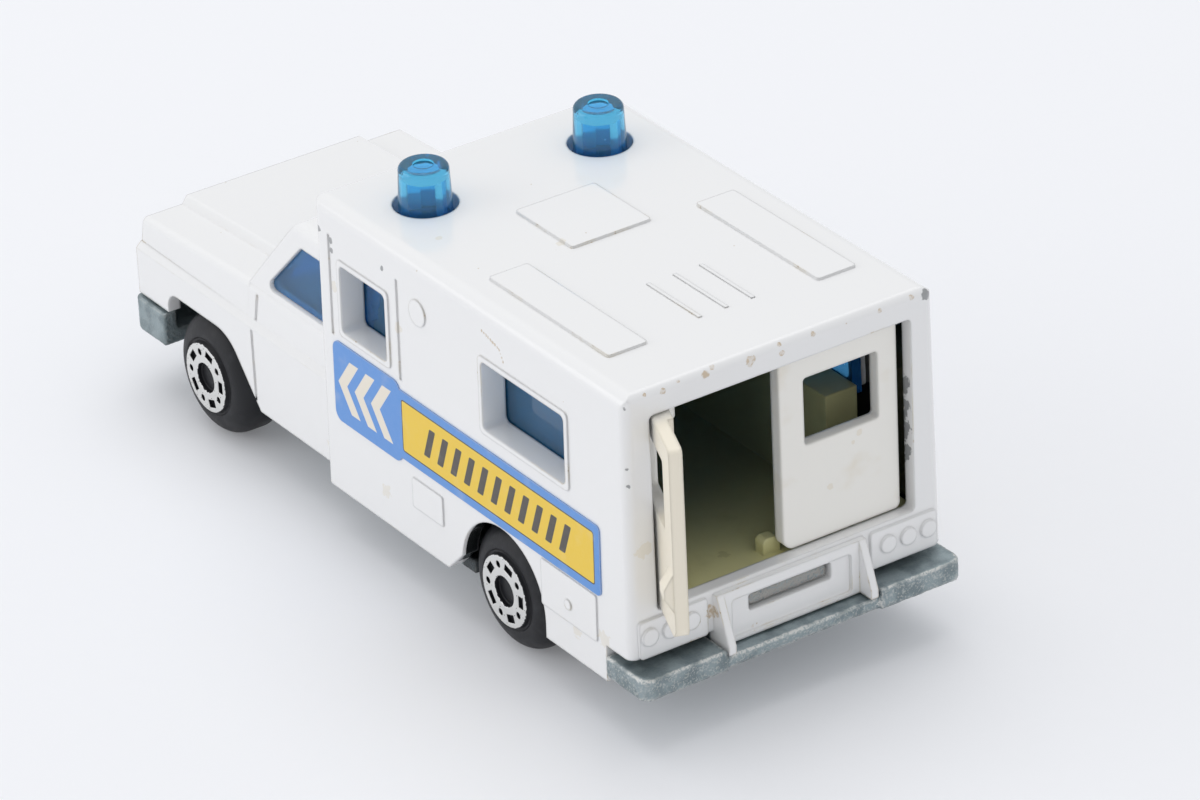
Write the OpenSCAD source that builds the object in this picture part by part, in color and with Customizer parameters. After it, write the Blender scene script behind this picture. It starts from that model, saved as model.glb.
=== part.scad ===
// Pocket die-cast toy ambulance with a pickup cab and a square patient box.
// X runs across the toy (its left side is +X), the front faces -Y and Z is up.
// Lengths are measured from the rear face of the box and heights from the ground.

/* [Box body] */
// Width across the lower edges of the side walls
body_w = 30; // [29:0.1:32]
// Length of the box from its rear face to its front face
box_len = 43.5; // [42.5:0.1:46]
// Height of the roof above the ground
roof_z = 30.3; // [30:0.1:32]
// Height of the lower edge of the side walls
skirt_z = 4.2; // [3.8:0.1:4.6]
// Inward lean of the side walls, in degrees
wall_draft = 1; // [0.5:0.1:1.5]
// Thickness of the cast walls
wall = 1.5; // [1.2:0.05:1.6]
// Radius of the edge between the roof and the walls
roof_edge_r = 1.2; // [0.8:0.1:1.4]
// Radius of the upright corners
corner_r = 0.8; // [0.5:0.1:1.2]
// Radius of the roof's front and rear edges
roof_end_r = 0.7; // [0.5:0.1:1]

/* [Roof] */
// Height of the raised roof panels
panel_h = 0.22; // [0.1:0.02:0.4]
// Width of the hatch in the middle of the roof
hatch_w = 7.6; // [6:0.1:9]
// Length of the hatch
hatch_len = 8; // [6:0.1:9]
// Distance from the rear face to the hatch and the side panels' front ends
hatch_y = 22.5; // [20:0.1:24]
// Width of each side panel
side_panel_w = 3.7; // [3:0.1:4]
// Distance from the middle of the roof to a side panel
side_panel_x = 8; // [7.5:0.1:8.5]
// Distance from the rear face to a side panel's rear end
side_panel_y = 6.1; // [5:0.1:8]
// Distance from the rear face to the fine ribs
rib_y = 7; // [5:0.1:9]
// Spacing of the three fine roof ribs
rib_pitch = 2.5; // [2:0.1:3]
// Width of a roof rib
rib_w = 0.35; // [0.2:0.05:0.6]
// Length of a roof rib
rib_len = 7; // [4:0.1:9]

/* [Rear doorway] */
// Width of the frame on each side of the doorway
door_post_w = 2.7; // [2.4:0.05:2.9]
// Height of the doorway's sill
door_sill_z = 11.05; // [10.8:0.05:11.4]
// Distance from the roof down to the underside of the door head
door_head_in = 2.2; // [2:0.1:2.5]
// Thickness of the frame round the doorway
frame_t = 1.2; // [1:0.05:1.3]
// Height of the lower edge of the rear panel, above the bumper
rear_skirt_z = 7.4; // [7.1:0.1:7.7]
// Distance from the middle to a bumper bracket
bracket_x = 6.8; // [6.4:0.1:7.4]
// Thickness of the bumper brackets
bracket_t = 0.7; // [0.5:0.05:1]
// How far the step panel between the brackets stands out behind the box
step_panel_out = 0.5; // [0.3:0.05:0.8]
// Width of the slot that the base's tongue shows through
tongue_slot_w = 7.9; // [7:0.1:9]
// Height of that slot
tongue_slot_h = 1.5; // [1.4:0.1:2]
// Height of the middle of that slot
tongue_slot_z = 8.8; // [8.6:0.1:9]
// Margin of the shallow recess beside and below the slot
slot_margin = 1.75; // [1:0.05:1.8]
// How far the lamp strips stand out
lamp_strip_out = 0.25; // [0.1:0.05:0.4]
// Diameter of a tail lamp boss
tail_lamp_d = 1.5; // [1:0.1:1.7]
// Height of the tail lamps
tail_lamp_z = 9.25; // [9:0.05:9.5]
// Distance from the lower edge of the side wall to the nearest tail lamp
tail_lamp_in = 1.7; // [1.6:0.05:2]
// Spacing of the tail lamps
tail_lamp_pitch = 1.95; // [1.75:0.05:2]

/* [Rear doors] */
// Thickness of a door
door_t = 1.1; // [1:0.05:1.4]
// Depth of the doors' faces inside the frame
door_set_in = 0.9; // [0.8:0.05:1]
// Gap between the two closed doors
door_meet_gap = 0.6; // [0.4:0.05:0.8]
// Gap between a door's hinge edge and the side of the doorway
door_hinge_gap = 0.8; // [0.6:0.05:0.9]
// Gap above and below a door
door_end_gap = 0.25; // [0.2:0.05:0.3]
// Distance from a door's hinge edge to its hinge axis
hinge_in = 2.35; // [2.25:0.05:2.5]
// Depth of the hinge axis behind a door's face
hinge_depth = 1.7; // [1.6:0.05:1.8]
// Angle between a closed and a fully open door
door_open_angle = 112; // [90:1:113]
// Diameter of a hinge pin
hinge_pin_d = 1; // [0.8:0.05:1.1]
// Length of a hinge pin
hinge_pin_len = 0.9; // [0.7:0.05:1]
// Distance from a door's hinge edge to its window
door_window_hinge_in = 1.8; // [1.5:0.1:2.4]
// Height of a door's window
door_window_h = 5.9; // [5:0.1:6.2]
// Height of a door's window above the door's lower edge
door_window_up = 8.6; // [8:0.1:8.8]
// Distance from a door's free edge to its window
door_window_in = 2.3; // [2:0.1:2.6]
// Radius of the corners of a door's window
door_window_r = 0.3; // [0.2:0.05:0.6]
// Height of the finger lift above the door's lower edge
lift_up = 4.1; // [3:0.1:6]
// How far the finger lift stands out of the left door
lift_out = 0.75; // [0.5:0.05:0.85]

/* [Side windows] */
// Height of the lower edge of the box's side windows
side_window_z = 19.4; // [19:0.1:20]
// Height of the box's side windows
side_window_h = 6; // [5:0.1:6.4]
// Length of the rear side window
rear_window_len = 11.4; // [9:0.1:12]
// Distance from the rear face to the rear side window
rear_window_y = 8.1; // [7.6:0.1:10]
// Length of the front side window
front_window_len = 6.6; // [5:0.1:7]
// Distance from the box's front face to the front side window
front_window_in = 3.7; // [3.2:0.1:4]
// Radius of the window corners
window_r = 0.5; // [0.3:0.05:0.9]
// Height of the pads behind the walls that the side panes lie against
pad_h = 0.6; // [0.4:0.05:1]

/* [Wall relief] */
// Height of the raised rims and panels on the side walls
relief_h = 0.14; // [0.08:0.02:0.2]
// Width of the rims round the box's side windows
window_rim_w = 0.45; // [0.3:0.05:0.6]
// Width of the shut lines
shut_line_w = 0.3; // [0.2:0.05:0.4]
// Depth of the shut lines
shut_line_depth = 0.16; // [0.1:0.02:0.25]
// Length of the side door, from the front shut line to the rear one
side_door_len = 9.9; // [9:0.1:10.5]
// Diameter of the round filler cap behind the side door
cap_d = 2.3; // [1.8:0.1:2.6]
// Height of the middle of the filler cap
cap_z = 25.8; // [25:0.1:26]
// Length of the locker panel ahead of the rear wheel
locker_len = 4.4; // [3.6:0.1:4.6]
// Height of the locker panel
locker_h = 2.7; // [2:0.1:2.9]
// Length of the flap behind the rear wheel
flap_len = 7.6; // [6:0.1:7.8]
// Height of the flap
flap_h = 4.1; // [3:0.1:4.2]

/* [Cab] */
// How far the cab's doors lie inside the lower edges of the box's walls
cab_in = 1.05; // [0.8:0.05:1.2]
// Length of the cab from the box to the grille
cab_len = 30.6; // [30.2:0.1:31.2]
// Thickness of the cab's cast walls
cab_wall = 1.2; // [1:0.05:1.3]
// Height of the cab's sills
sill_z = 5.1; // [4.8:0.1:5.4]
// Height of the crease along the fenders and doors
crease_z = 12.7; // [12.4:0.1:13]
// Height of the hood at the windscreen
hood_z = 16.9; // [16.6:0.1:17.1]
// Downward lean of the hood towards the front, in degrees
hood_lean = 3.2; // [2.5:0.1:3.6]
// Width of the hood's raised middle panel
hood_panel_w = 17.4; // [15:0.1:18]
// Height of the cab's roof
cab_roof_z = 23.6; // [23.3:0.1:23.9]
// How far the belt line lies inside the cab's width, on each side
belt_in = 0.85; // [0.75:0.05:1]
// How far the edges of the cab's roof lie inside its width, on each side
cab_roof_in = 2.15; // [2:0.05:2.4]
// Distance from the box to the foot of the windscreen
screen_foot_y = 13.8; // [13.4:0.1:14.2]
// Distance from the box to the top of the windscreen
screen_top_y = 7.7; // [7.3:0.1:8]
// Width of the grille opening
grille_w = 16.8; // [15:0.1:17.5]
// Diameter of a headlamp
headlamp_d = 2.9; // [2.4:0.1:3.1]
// Distance from the middle to a headlamp
headlamp_x = 10.8; // [10.6:0.1:11]

/* [Wheels and axles] */
// Diameter of a tyre
tyre_d = 10.8; // [10.4:0.1:10.9]
// Width of a wheel over its hub face
wheel_w = 4.4; // [4:0.1:4.5]
// Diameter of the raised hub face
hub_d = 6.2; // [5.6:0.1:6.6]
// How far the hub faces lie inside the lower edges of the side walls
hub_in = 0.25; // [0.1:0.05:0.4]
// Distance from the rear face of the box to the rear axle
rear_axle_y = 17.9; // [17.7:0.1:18.1]
// Distance from the grille back to the front axle
front_axle_in = 11.5; // [11.3:0.1:11.8]
// Diameter of the axle wire
axle_d = 0.8; // [0.6:0.05:0.9]
// Number of slots and of round holes in a hub face
hub_marks = 5; // [4:1:6]

/* [Base] */
// Height of the base's flat underside
base_z = 3.4; // [3.2:0.1:3.6]
// Thickness of the base
base_t = 1.4; // [1.2:0.05:1.5]
// How far the rear bumper's ends stand out beside the walls
rear_bumper_side = 0.3; // [0.1:0.05:0.6]
// How far the rear bumper stands out behind the box
rear_bumper_out = 2.2; // [1.9:0.1:2.5]
// Height of the rear bumper's lower edge
rear_bumper_z = 4.8; // [4.5:0.1:5]
// Height of the rear bumper's face
rear_bumper_h = 1.9; // [1.7:0.05:2]
// How far the bumper steps down between the brackets
rear_bumper_step = 0.8; // [0.5:0.05:0.9]
// How far the front bumper's ends stand out beside the cab
front_bumper_side = 0.45; // [0.3:0.05:0.7]
// How far the front bumper stands out in front of the grille
front_bumper_out = 1.3; // [1:0.1:1.6]
// Height of the front bumper's lower edge
front_bumper_z = 5.2; // [5:0.1:5.4]
// Height of the front bumper's face
front_bumper_h = 3.1; // [2.8:0.1:3.2]
// Diameter of the rivet post under the hood
post_d = 3.2; // [2.8:0.1:3.6]
// Diameter of the rivet's stem
rivet_d = 2; // [1.8:0.1:2.2]

/* [Interior] */
// Depth of the compartment floor below the doorway's sill
floor_drop = 0.45; // [0.3:0.05:0.6]
// Thickness of the moulding's walls
mould_t = 0.9; // [0.7:0.05:1]
// Distance from the middle to the side cabinets
cabinet_x = 8.3; // [7.8:0.1:8.6]
// Distance from the rear face to the side cabinets
cabinet_y = 6; // [5.8:0.1:7]
// Height of the tall cabinet on the right above the floor
cabinet_h = 9.4; // [8:0.1:10.5]
// Height of the bench on the left above the floor
bench_h = 4.9; // [3.5:0.1:6]
// Height of the seat cushion in the cab above the floor
seat_h = 2.4; // [2:0.1:3]
// Height of the seat back above the floor
seat_back_h = 8; // [7:0.1:8.5]
// Width of the door stop in the middle of the floor
stop_w = 1.6; // [1.2:0.1:2]
// Height of the door stop above the floor
stop_h = 1.4; // [1:0.1:2]

/* [Windows and beacons] */
// Thickness of the clear panes
pane_t = 0.9; // [0.7:0.05:1]
// Depth of the cab's panes below the surface round them
pane_set_in = 0.3; // [0.2:0.05:0.5]
// Diameter of a beacon at the roof
beacon_d = 4.4; // [4.2:0.1:4.8]
// Diameter of a beacon at its top
beacon_top_d = 4.1; // [3.8:0.1:4.2]
// Height of a beacon above the roof
beacon_h = 3.5; // [3:0.1:4]
// Diameter of the hole that a beacon comes through
beacon_hole_d = 5.4; // [5.2:0.1:5.8]
// Distance between the two beacons
beacon_span = 16.8; // [15:0.1:18]
// Distance from the box's front face to the beacons
beacon_in = 7.1; // [6:0.1:8]

/* [Labels] */
// Thickness of a label
label_t = 0.12; // [0.08:0.01:0.2]
// Distance from the rear face to the label's rear end
label_y = 3.7; // [3.2:0.1:5]
// Distance from the box's front face to the label's front end
label_front_in = 2.1; // [1.6:0.1:2.6]
// Height of the strip's lower edge
label_z = 11.5; // [11.4:0.05:11.8]
// Height of the strip
label_h = 6.2; // [5.5:0.1:6.4]
// Length of the taller square at the label's front end
label_square = 9.8; // [9:0.1:10.5]
// How far the square reaches past the strip, above and below
label_step = 0.55; // [0.3:0.05:0.7]

/* [Clearances] */
// Radial clearance of a pin or axle end that turns in its bore
turn_gap = 0.05; // [0.03:0.01:0.08]
// Gap between castings and mouldings that sit next to each other
seat_gap = 0.1; // [0.05:0.01:0.15]
// Gap between a tyre and the casting round it
tyre_gap = 0.5; // [0.4:0.05:0.6]

/* [Hidden] */
$fn = 48;

// Room that cutting shapes run past the faces they cut
over = 1;
cab_y = -box_len;
doorway_w = body_w - 2 * door_post_w;
cab_w = body_w - 2 * cab_in;
grille_y = cab_y - cab_len;
screen_y = cab_y - screen_foot_y;
bumper_front_y = grille_y - front_bumper_out;
roof_under_z = roof_z - wall;
base_top_z = base_z + base_t;
floor_z = door_sill_z - floor_drop;
floor_under_z = floor_z - mould_t;

// Wheels
axle_z = tyre_d / 2;
track_w = body_w - 2 * hub_in;
rear_wheel_y = -rear_axle_y;
front_wheel_y = grille_y + front_axle_in;
wheel_room_r = tyre_d / 2 + tyre_gap;
wheel_inner_x = track_w / 2 - wheel_w - tyre_gap;
arch_front_room = 0.9;
front_arch_y = front_wheel_y - wheel_room_r - arch_front_room;

// Rear bumper, whose middle lies lower than its ends
rear_bumper_top_z = rear_bumper_z + rear_bumper_h;
bumper_mid_z = rear_bumper_top_z - rear_bumper_step;
bumper_root_y = -3.1;

// Closed rear doors and their hinges
door_head_z = roof_z - door_head_in;
door_free_x = door_meet_gap / 2;
door_edge_x = doorway_w / 2 - door_hinge_gap;
door_low_z = door_sill_z + door_end_gap;
door_high_z = door_head_z - door_end_gap;
door_inner_y = -door_set_in - door_t;
hinge_x = door_edge_x - hinge_in;
hinge_y = -door_set_in - hinge_depth;

// Rear end of the open left door, which is the rearmost point of the resting toy
swing_x = hinge_x - door_free_x;
open_door_y = hinge_y + swing_x * sin(door_open_angle)
    + max(hinge_depth * cos(door_open_angle), (hinge_depth - door_t) * cos(door_open_angle));
frame_dy = -(bumper_front_y + open_door_y) / 2;

// Cross section of the cab
ledge_in = 0.5;
ledge_h = 0.5;
fender_low_x = cab_w / 2 - ledge_in;
fender_in = 0.9;
fender_drop = 0.7;
fender_top_x = cab_w / 2 - fender_in;
fender_top_z = hood_z - fender_drop;
shoulder_r = 0.6;
belt_x = cab_w / 2 - belt_in;
belt_drop = 2;
belt_z = hood_z - belt_drop;
cab_roof_x = cab_w / 2 - cab_roof_in;
screen_slope = (screen_foot_y - screen_top_y) / (cab_roof_z - hood_z);
nose_bow_r = 85;
nose_wall = 2 * cab_wall;

// Rivet that holds the base, behind the grille
post_ahead = 3.4;
post_y = front_wheel_y - post_ahead;
rivet_low_z = base_z + seat_gap;
rivet_head_d = post_d + 0.2;
rivet_head_h = 0.5;

// Half width of the box's side wall at height z
function wall_x(z) = body_w / 2 - (z - skirt_z) * tan(wall_draft);

// Outlines with rounded corners: each point is [x, y, corner radius]
function flat(p) = [p[0], p[1]];
function unit(v) = v / norm(v);
function corner_arc(a, b, c) =
    let (
        r = b[2],
        u = unit(flat(a) - flat(b)),
        v = unit(flat(c) - flat(b)),
        half = acos(u * v) / 2,
        run = r / tan(half)
    )
    r > 0
        ? [[flat(b) + u * run, flat(b) + v * run], flat(b) + unit(u + v) * r / sin(half), r]
        : [[flat(b)], flat(b), 0];

module soft_polygon(points) {
    n = len(points);
    arcs = [for (i = [0 : n - 1]) corner_arc(points[(i + n - 1) % n], points[i], points[(i + 1) % n])];
    polygon([for (arc = arcs) each arc[0]]);
    for (arc = arcs)
        if (arc[2] > 0)
            translate(arc[1])
                circle(r = arc[2]);
}

// A soft polygon that is alike on both sides of the Y axis, from the points of its right half
module soft_pair(half) {
    last = len(half) - 1;
    soft_polygon(concat(half, [for (i = [last : -1 : 0]) [-half[i][0], half[i][1], half[i][2]]]));
}

module soft_rect(x0, y0, x1, y1, r) {
    soft_polygon([[x0, y0, r], [x1, y0, r], [x1, y1, r], [x0, y1, r]]);
}

// An outline drawn as [y, z], made solid across the toy
module across(w) {
    rotate([90, 0, 90])
        translate([0, 0, -w / 2])
            linear_extrude(w)
                children();
}

// An outline drawn as [x, z], made solid from y0 to y1
module lengthwise(y0, y1) {
    translate([0, y1, 0])
        rotate([90, 0, 0])
            linear_extrude(y1 - y0)
                children();
}

// An outline drawn as [x, y], made solid from z0 to z1
module upright(z0, z1) {
    translate([0, 0, z0])
        linear_extrude(z1 - z0)
            children();
}

module block(low, high) {
    translate(low)
        cube(high - low);
}

module both_sides() {
    children();
    mirror([1, 0, 0])
        children();
}

// Moves a piece from the rear face of the box to the middle of the toy's footprint
module place() {
    translate([0, frame_dy, 0])
        children();
}

// Makes an outline solid on the leaning left wall, from depth x0 to x1 beside the wall's face.
// The outline is drawn as [y, height above the wall's lower edge].
module on_wall(x0, x1) {
    translate([body_w / 2, 0, skirt_z])
        rotate([0, -wall_draft, 0])
            translate([x0, 0, 0])
                rotate([90, 0, 90])
                    linear_extrude(x1 - x0)
                        children();
}

// Cuts a round along the upright edge at the origin of a solid that lies at -X and -Y
module edge_round(r, h) {
    difference() {
        translate([-r, -r, 0])
            cube([r + over, r + over, h]);
        translate([-r, -r, -over])
            cylinder(r = r, h = h + 2 * over);
    }
}

// Cross section of the box, shrunk sideways and downwards
module box_section(side_in, top_in, low_z, edge_r) {
    top_z = roof_z - top_in;
    arc_z = top_z - edge_r;
    arc_x = wall_x(arc_z) - side_in - edge_r / cos(wall_draft);
    side_x = arc_x + edge_r * cos(wall_draft);
    side_z = arc_z + edge_r * sin(wall_draft);
    low_x = wall_x(low_z) - side_in;
    polygon([
        [-low_x, low_z], [low_x, low_z], [side_x, side_z],
        [arc_x, top_z], [-arc_x, top_z], [-side_x, side_z]
    ]);
    for (side = [-1, 1])
        translate([side * arc_x, arc_z])
            circle(r = edge_r);
}

module box_form() {
    tall = roof_z - skirt_z + 2 * over;
    difference() {
        lengthwise(cab_y, 0)
            box_section(0, 0, skirt_z, roof_edge_r);
        both_sides()
            translate([body_w / 2, 0, skirt_z])
                rotate([0, -wall_draft, 0])
                    translate([0, 0, -over]) {
                        edge_round(corner_r, tall);
                        translate([0, cab_y, 0])
                            mirror([0, 1, 0])
                                edge_round(corner_r, tall);
                    }
        for (end = [0, 1])
            translate([-body_w / 2 - over, end * cab_y, roof_z])
                mirror([0, end, 0])
                    rotate([90, 0, 90])
                        edge_round(roof_end_r, body_w + 2 * over);
    }
}

module box_hollow() {
    lengthwise(cab_y + wall, -frame_t)
        box_section(wall, wall, skirt_z - over, roof_edge_r / 2);
}

// Lower cab up to the crease ledge, and the doors from there up to the belt line
module cab_sides() {
    lengthwise(grille_y, cab_y + wall)
        soft_pair([[cab_w / 2, sill_z, 0], [cab_w / 2, crease_z, 0], [fender_low_x, crease_z + ledge_h, 0]]);
    lengthwise(screen_y, cab_y + wall)
        soft_pair([
            [fender_low_x, crease_z, 0], [fender_low_x, crease_z + ledge_h, 0],
            [fender_top_x, fender_top_z, shoulder_r]
        ]);
}

// Hood and fender tops, leaning down towards the front from the foot of the windscreen
module hood_form() {
    hood_x = hood_panel_w / 2;
    hood_step = 0.5;
    hood_edge_r = 0.3;
    low_z = crease_z - cab_wall;
    rear_y = screen_y + 2 * seat_gap;
    intersection() {
        translate([0, screen_y, 0])
            rotate([hood_lean, 0, 0])
                lengthwise(-2 * cab_len, cab_len)
                    soft_pair([
                        [fender_low_x, low_z - over, 0], [fender_low_x, crease_z + ledge_h, 0],
                        [fender_top_x, fender_top_z, shoulder_r], [hood_x + hood_step, fender_top_z, 0],
                        [hood_x, hood_z, hood_edge_r]
                    ]);
        block([-cab_w, grille_y, low_z], [cab_w, rear_y, cab_roof_z]);
    }
}

// Cab roof, pillars and windscreen, shrunk by an inset and running back to rear_y
module greenhouse(inset, rear_y) {
    screen_lean = atan(screen_slope);
    screen_in = inset / cos(screen_lean);
    foot_y = screen_y - (hood_z - belt_z) * screen_slope + screen_in;
    top_y = cab_y - screen_top_y + screen_in - inset * screen_slope;
    top_z = cab_roof_z - inset;
    roof_r = 1;
    brow_r = 1.2;
    intersection() {
        lengthwise(foot_y - over, rear_y)
            soft_pair([[belt_x - inset, belt_z, 0], [cab_roof_x - inset, top_z, roof_r]]);
        across(cab_w)
            soft_polygon([
                [foot_y, belt_z - over, 0], [top_y, top_z, brow_r],
                [rear_y + over, top_z, 0], [rear_y + over, belt_z - over, 0]
            ]);
    }
}

module cab_form() {
    intersection() {
        union() {
            cab_sides();
            hood_form();
            greenhouse(0, cab_y + wall);
        }
        translate([0, grille_y + nose_bow_r, 0])
            cylinder(r = nose_bow_r, h = roof_z);
    }
}

module cab_hollow() {
    inner_x = cab_w / 2 - cab_wall;
    bay_x = inner_x - cab_wall;
    door_x = belt_x - cab_wall;
    front_y = grille_y + nose_wall;
    rear_y = cab_y + 2 * wall;
    hood_under_z = fender_top_z - cab_wall - sin(hood_lean) * (cab_len - screen_foot_y);
    block([-inner_x, front_y, -over], [inner_x, rear_y, crease_z - cab_wall]);
    block([-bay_x, front_y, 0], [bay_x, cab_y, hood_under_z]);
    block([-door_x, screen_y, crease_z - 2 * cab_wall], [door_x, rear_y, belt_z + over]);
    greenhouse(cab_wall, rear_y);
}

module doorway() {
    doorway_r = 0.4;
    lengthwise(-2 * frame_t, over)
        soft_rect(-doorway_w / 2, door_sill_z, doorway_w / 2, door_head_z, doorway_r);
}

// Outlines of the two side windows of the box, grown by a margin
module side_window_outlines(margin) {
    low_z = side_window_z - margin;
    high_z = side_window_z + side_window_h + margin;
    front_y = cab_y + front_window_in;
    soft_rect(-rear_window_y - rear_window_len - margin, low_z, -rear_window_y + margin, high_z, window_r);
    soft_rect(front_y - margin, low_z, front_y + front_window_len + margin, high_z, window_r);
}

// Pads behind the walls that make the window reveals deep
module window_pads() {
    pad_margin = 0.7;
    both_sides()
        on_wall(-wall - pad_h, -wall / 2)
            translate([0, -skirt_z])
                side_window_outlines(pad_margin);
}

// Raised rims, panels and round caps on the box's side walls
module wall_relief() {
    root = -wall / 2;
    relief_r = 0.25;
    door_rear_y = cab_y + label_front_in + side_door_len;
    cap_y = door_rear_y + 3;
    locker_y = door_rear_y + 1.2;
    locker_z = 7.7;
    flap_y = -4.4;
    flap_z = 7.2;
    latch_d = 0.9;
    latch_z = flap_z + 1.65;
    both_sides()
        on_wall(root, relief_h)
            translate([0, -skirt_z]) {
                side_window_outlines(window_rim_w);
                translate([cap_y, cap_z])
                    circle(d = cap_d);
                soft_rect(locker_y, locker_z, locker_y + locker_len, locker_z + locker_h, relief_r);
                soft_rect(flap_y - flap_len, flap_z, flap_y, flap_z + flap_h, relief_r);
            }
    both_sides()
        on_wall(root, 2 * relief_h)
            translate([flap_y - flap_len / 2, latch_z - skirt_z])
                circle(d = latch_d);
}

// Shut lines of the side door in the box, and of the cab's doors ahead of their windows
module shut_lines() {
    front_y = cab_y + label_front_in;
    low_z = label_z + label_h + label_step + 0.3;
    high_z = roof_z - 2.8;
    cab_line_y = screen_y + 1.3;
    both_sides() {
        for (y = [front_y, front_y + side_door_len])
            on_wall(-shut_line_depth, over)
                translate([y - shut_line_w / 2, low_z - skirt_z])
                    square([shut_line_w, high_z - low_z]);
        block([fender_top_x - shut_line_depth / 2, cab_line_y, crease_z + ledge_h],
            [cab_w / 2 + over, cab_line_y + shut_line_w, belt_z + 0.6]);
        block([cab_w / 2 - shut_line_depth, cab_line_y, sill_z + 0.8],
            [cab_w / 2 + over, cab_line_y + shut_line_w, crease_z - 0.2]);
    }
}

// Side windows and windscreen of the cab, shrunk by a gap
module cab_window_cuts(gap) {
    low_z = hood_z - 0.3 + gap;
    high_z = cab_roof_z - 1.8 - gap;
    pillar = 2.4;
    front_y = screen_y + pillar + gap / cos(atan(screen_slope));
    rear_y = cab_y - pillar - gap;
    side_r = 0.5;
    screen_side = 1.8;
    screen_low_z = hood_z + 0.5 + gap;
    screen_high_z = cab_roof_z - 1.4 - gap;
    across(body_w)
        soft_polygon([
            [front_y, low_z, side_r], [front_y + (high_z - low_z) * screen_slope, high_z, side_r],
            [rear_y, high_z, side_r], [rear_y, low_z, side_r]
        ]);
    lengthwise(screen_y - 2 * over, cab_y - screen_top_y + 2 * over)
        soft_pair([
            [belt_x - screen_side - gap, screen_low_z, side_r],
            [cab_roof_x - screen_side - gap, screen_high_z, side_r]
        ]);
}

// Openings for the wheels: round at the rear with a flared foot, nearly square at the front
module wheel_arches() {
    rear_y = rear_wheel_y + 0.3;
    rear_r = wheel_room_r;
    flare = 2;
    front_top_z = axle_z + 5.1;
    front_r = 1.5;
    rear_top_r = 4;
    slope_y = front_wheel_y + 2.8;
    foot_y = front_wheel_y + 7.4;
    lip = 0.3;
    across(body_w + 2 * over) {
        translate([rear_y, axle_z])
            circle(r = rear_r);
        polygon([
            [rear_y - rear_r + 0.05, axle_z + 0.8], [rear_y + rear_r, axle_z],
            [rear_y + rear_r, 0], [rear_y - rear_r - flare, 0], [rear_y - rear_r - flare, skirt_z]
        ]);
        soft_polygon([
            [front_arch_y, 0, 0], [front_arch_y, front_top_z, front_r],
            [slope_y, front_top_z, rear_top_r], [foot_y, sill_z, 0], [foot_y, 0, 0]
        ]);
    }
    both_sides()
        translate([cab_w / 2 - lip, front_wheel_y, axle_z])
            rotate([0, -90, 0])
                cylinder(r = wheel_room_r, h = wheel_w);
}

// Notches that clear the two bumpers
module bumper_room() {
    block([-body_w, bumper_root_y - 2 * seat_gap, 0], [body_w, over, rear_skirt_z]);
    block([-body_w, grille_y - over, 0],
        [body_w, front_arch_y + over, front_bumper_z + front_bumper_h + 2 * seat_gap]);
}

module beacon_holes() {
    for (side = [-1, 1])
        translate([side * beacon_span / 2, cab_y + beacon_in, roof_under_z - over])
            cylinder(d = beacon_hole_d, h = wall + 2 * over);
}

module roof_trim() {
    low_z = roof_z - wall / 2;
    trim_r = 0.3;
    upright(low_z, roof_z + panel_h) {
        soft_rect(-hatch_w / 2, -hatch_y - hatch_len, hatch_w / 2, -hatch_y, trim_r);
        both_sides()
            soft_rect(side_panel_x, -hatch_y, side_panel_x + side_panel_w, -side_panel_y, trim_r);
    }
    for (i = [-1 : 1])
        block([i * rib_pitch - rib_w / 2, -rib_y - rib_len, low_z],
            [i * rib_pitch + rib_w / 2, -rib_y, roof_z + panel_h / 2]);
}

// Step panel, lamp strips, tail lamps and bumper brackets below the doorway
module rear_trim() {
    top_z = door_sill_z - 0.4;
    low_z = bumper_mid_z + seat_gap;
    strip_x = bracket_x + 1;
    strip_r = 0.3;
    tip_y = rear_bumper_out - 0.2;
    tip_h = 0.7;
    block([-bracket_x, -frame_t, low_z], [bracket_x, step_panel_out, top_z]);
    both_sides() {
        lengthwise(-frame_t, lamp_strip_out)
            soft_rect(strip_x, rear_skirt_z, body_w / 2 - corner_r, top_z, strip_r);
        for (i = [0 : 2])
            translate([body_w / 2 - tail_lamp_in - i * tail_lamp_pitch, -frame_t / 2, tail_lamp_z])
                rotate([-90, 0, 0])
                    cylinder(d = tail_lamp_d, h = frame_t / 2 + 2 * lamp_strip_out);
        translate([bracket_x, 0, 0])
            across(bracket_t)
                polygon([
                    [-frame_t / 2, low_z], [-frame_t / 2, top_z], [step_panel_out, top_z],
                    [tip_y, low_z + tip_h], [tip_y, low_z]
                ]);
    }
}

// Slot that the base's tongue hooks into, with a shallow recess round it
module tongue_slot() {
    low_z = tongue_slot_z - tongue_slot_h / 2;
    high_z = tongue_slot_z + tongue_slot_h / 2;
    half = tongue_slot_w / 2;
    slot_r = 0.3;
    recess = 0.3;
    top_margin = 0.2;
    lengthwise(-2 * frame_t, step_panel_out + over)
        soft_rect(-half, low_z, half, high_z, slot_r);
    lengthwise(step_panel_out - recess, step_panel_out + over)
        soft_rect(-half - slot_margin, low_z - slot_margin, half + slot_margin, high_z + top_margin, slot_r);
}

// Seats under the roof for the doors' upper hinge pins
module hinge_seats() {
    reach = 1.7;
    both_sides()
        block([hinge_x - reach, hinge_y - reach, door_head_z],
            [hinge_x + reach, -frame_t / 2, roof_z - wall / 2]);
}

module hinge_bores() {
    for (side = [-1, 1])
        translate([side * hinge_x, hinge_y, door_head_z - over])
            cylinder(d = hinge_pin_d + 2 * turn_gap, h = over + hinge_pin_len);
}

// Post that is spun over below the base to rivet it on
module rivet_post() {
    post_top_z = fender_top_z - cab_wall / 2;
    translate([0, post_y, 0]) {
        translate([0, 0, base_top_z])
            cylinder(d = post_d, h = post_top_z - base_top_z);
        translate([0, 0, rivet_low_z]) {
            cylinder(d = rivet_d, h = base_t + over);
            cylinder(d = rivet_head_d, h = rivet_head_h);
        }
    }
}

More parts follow.
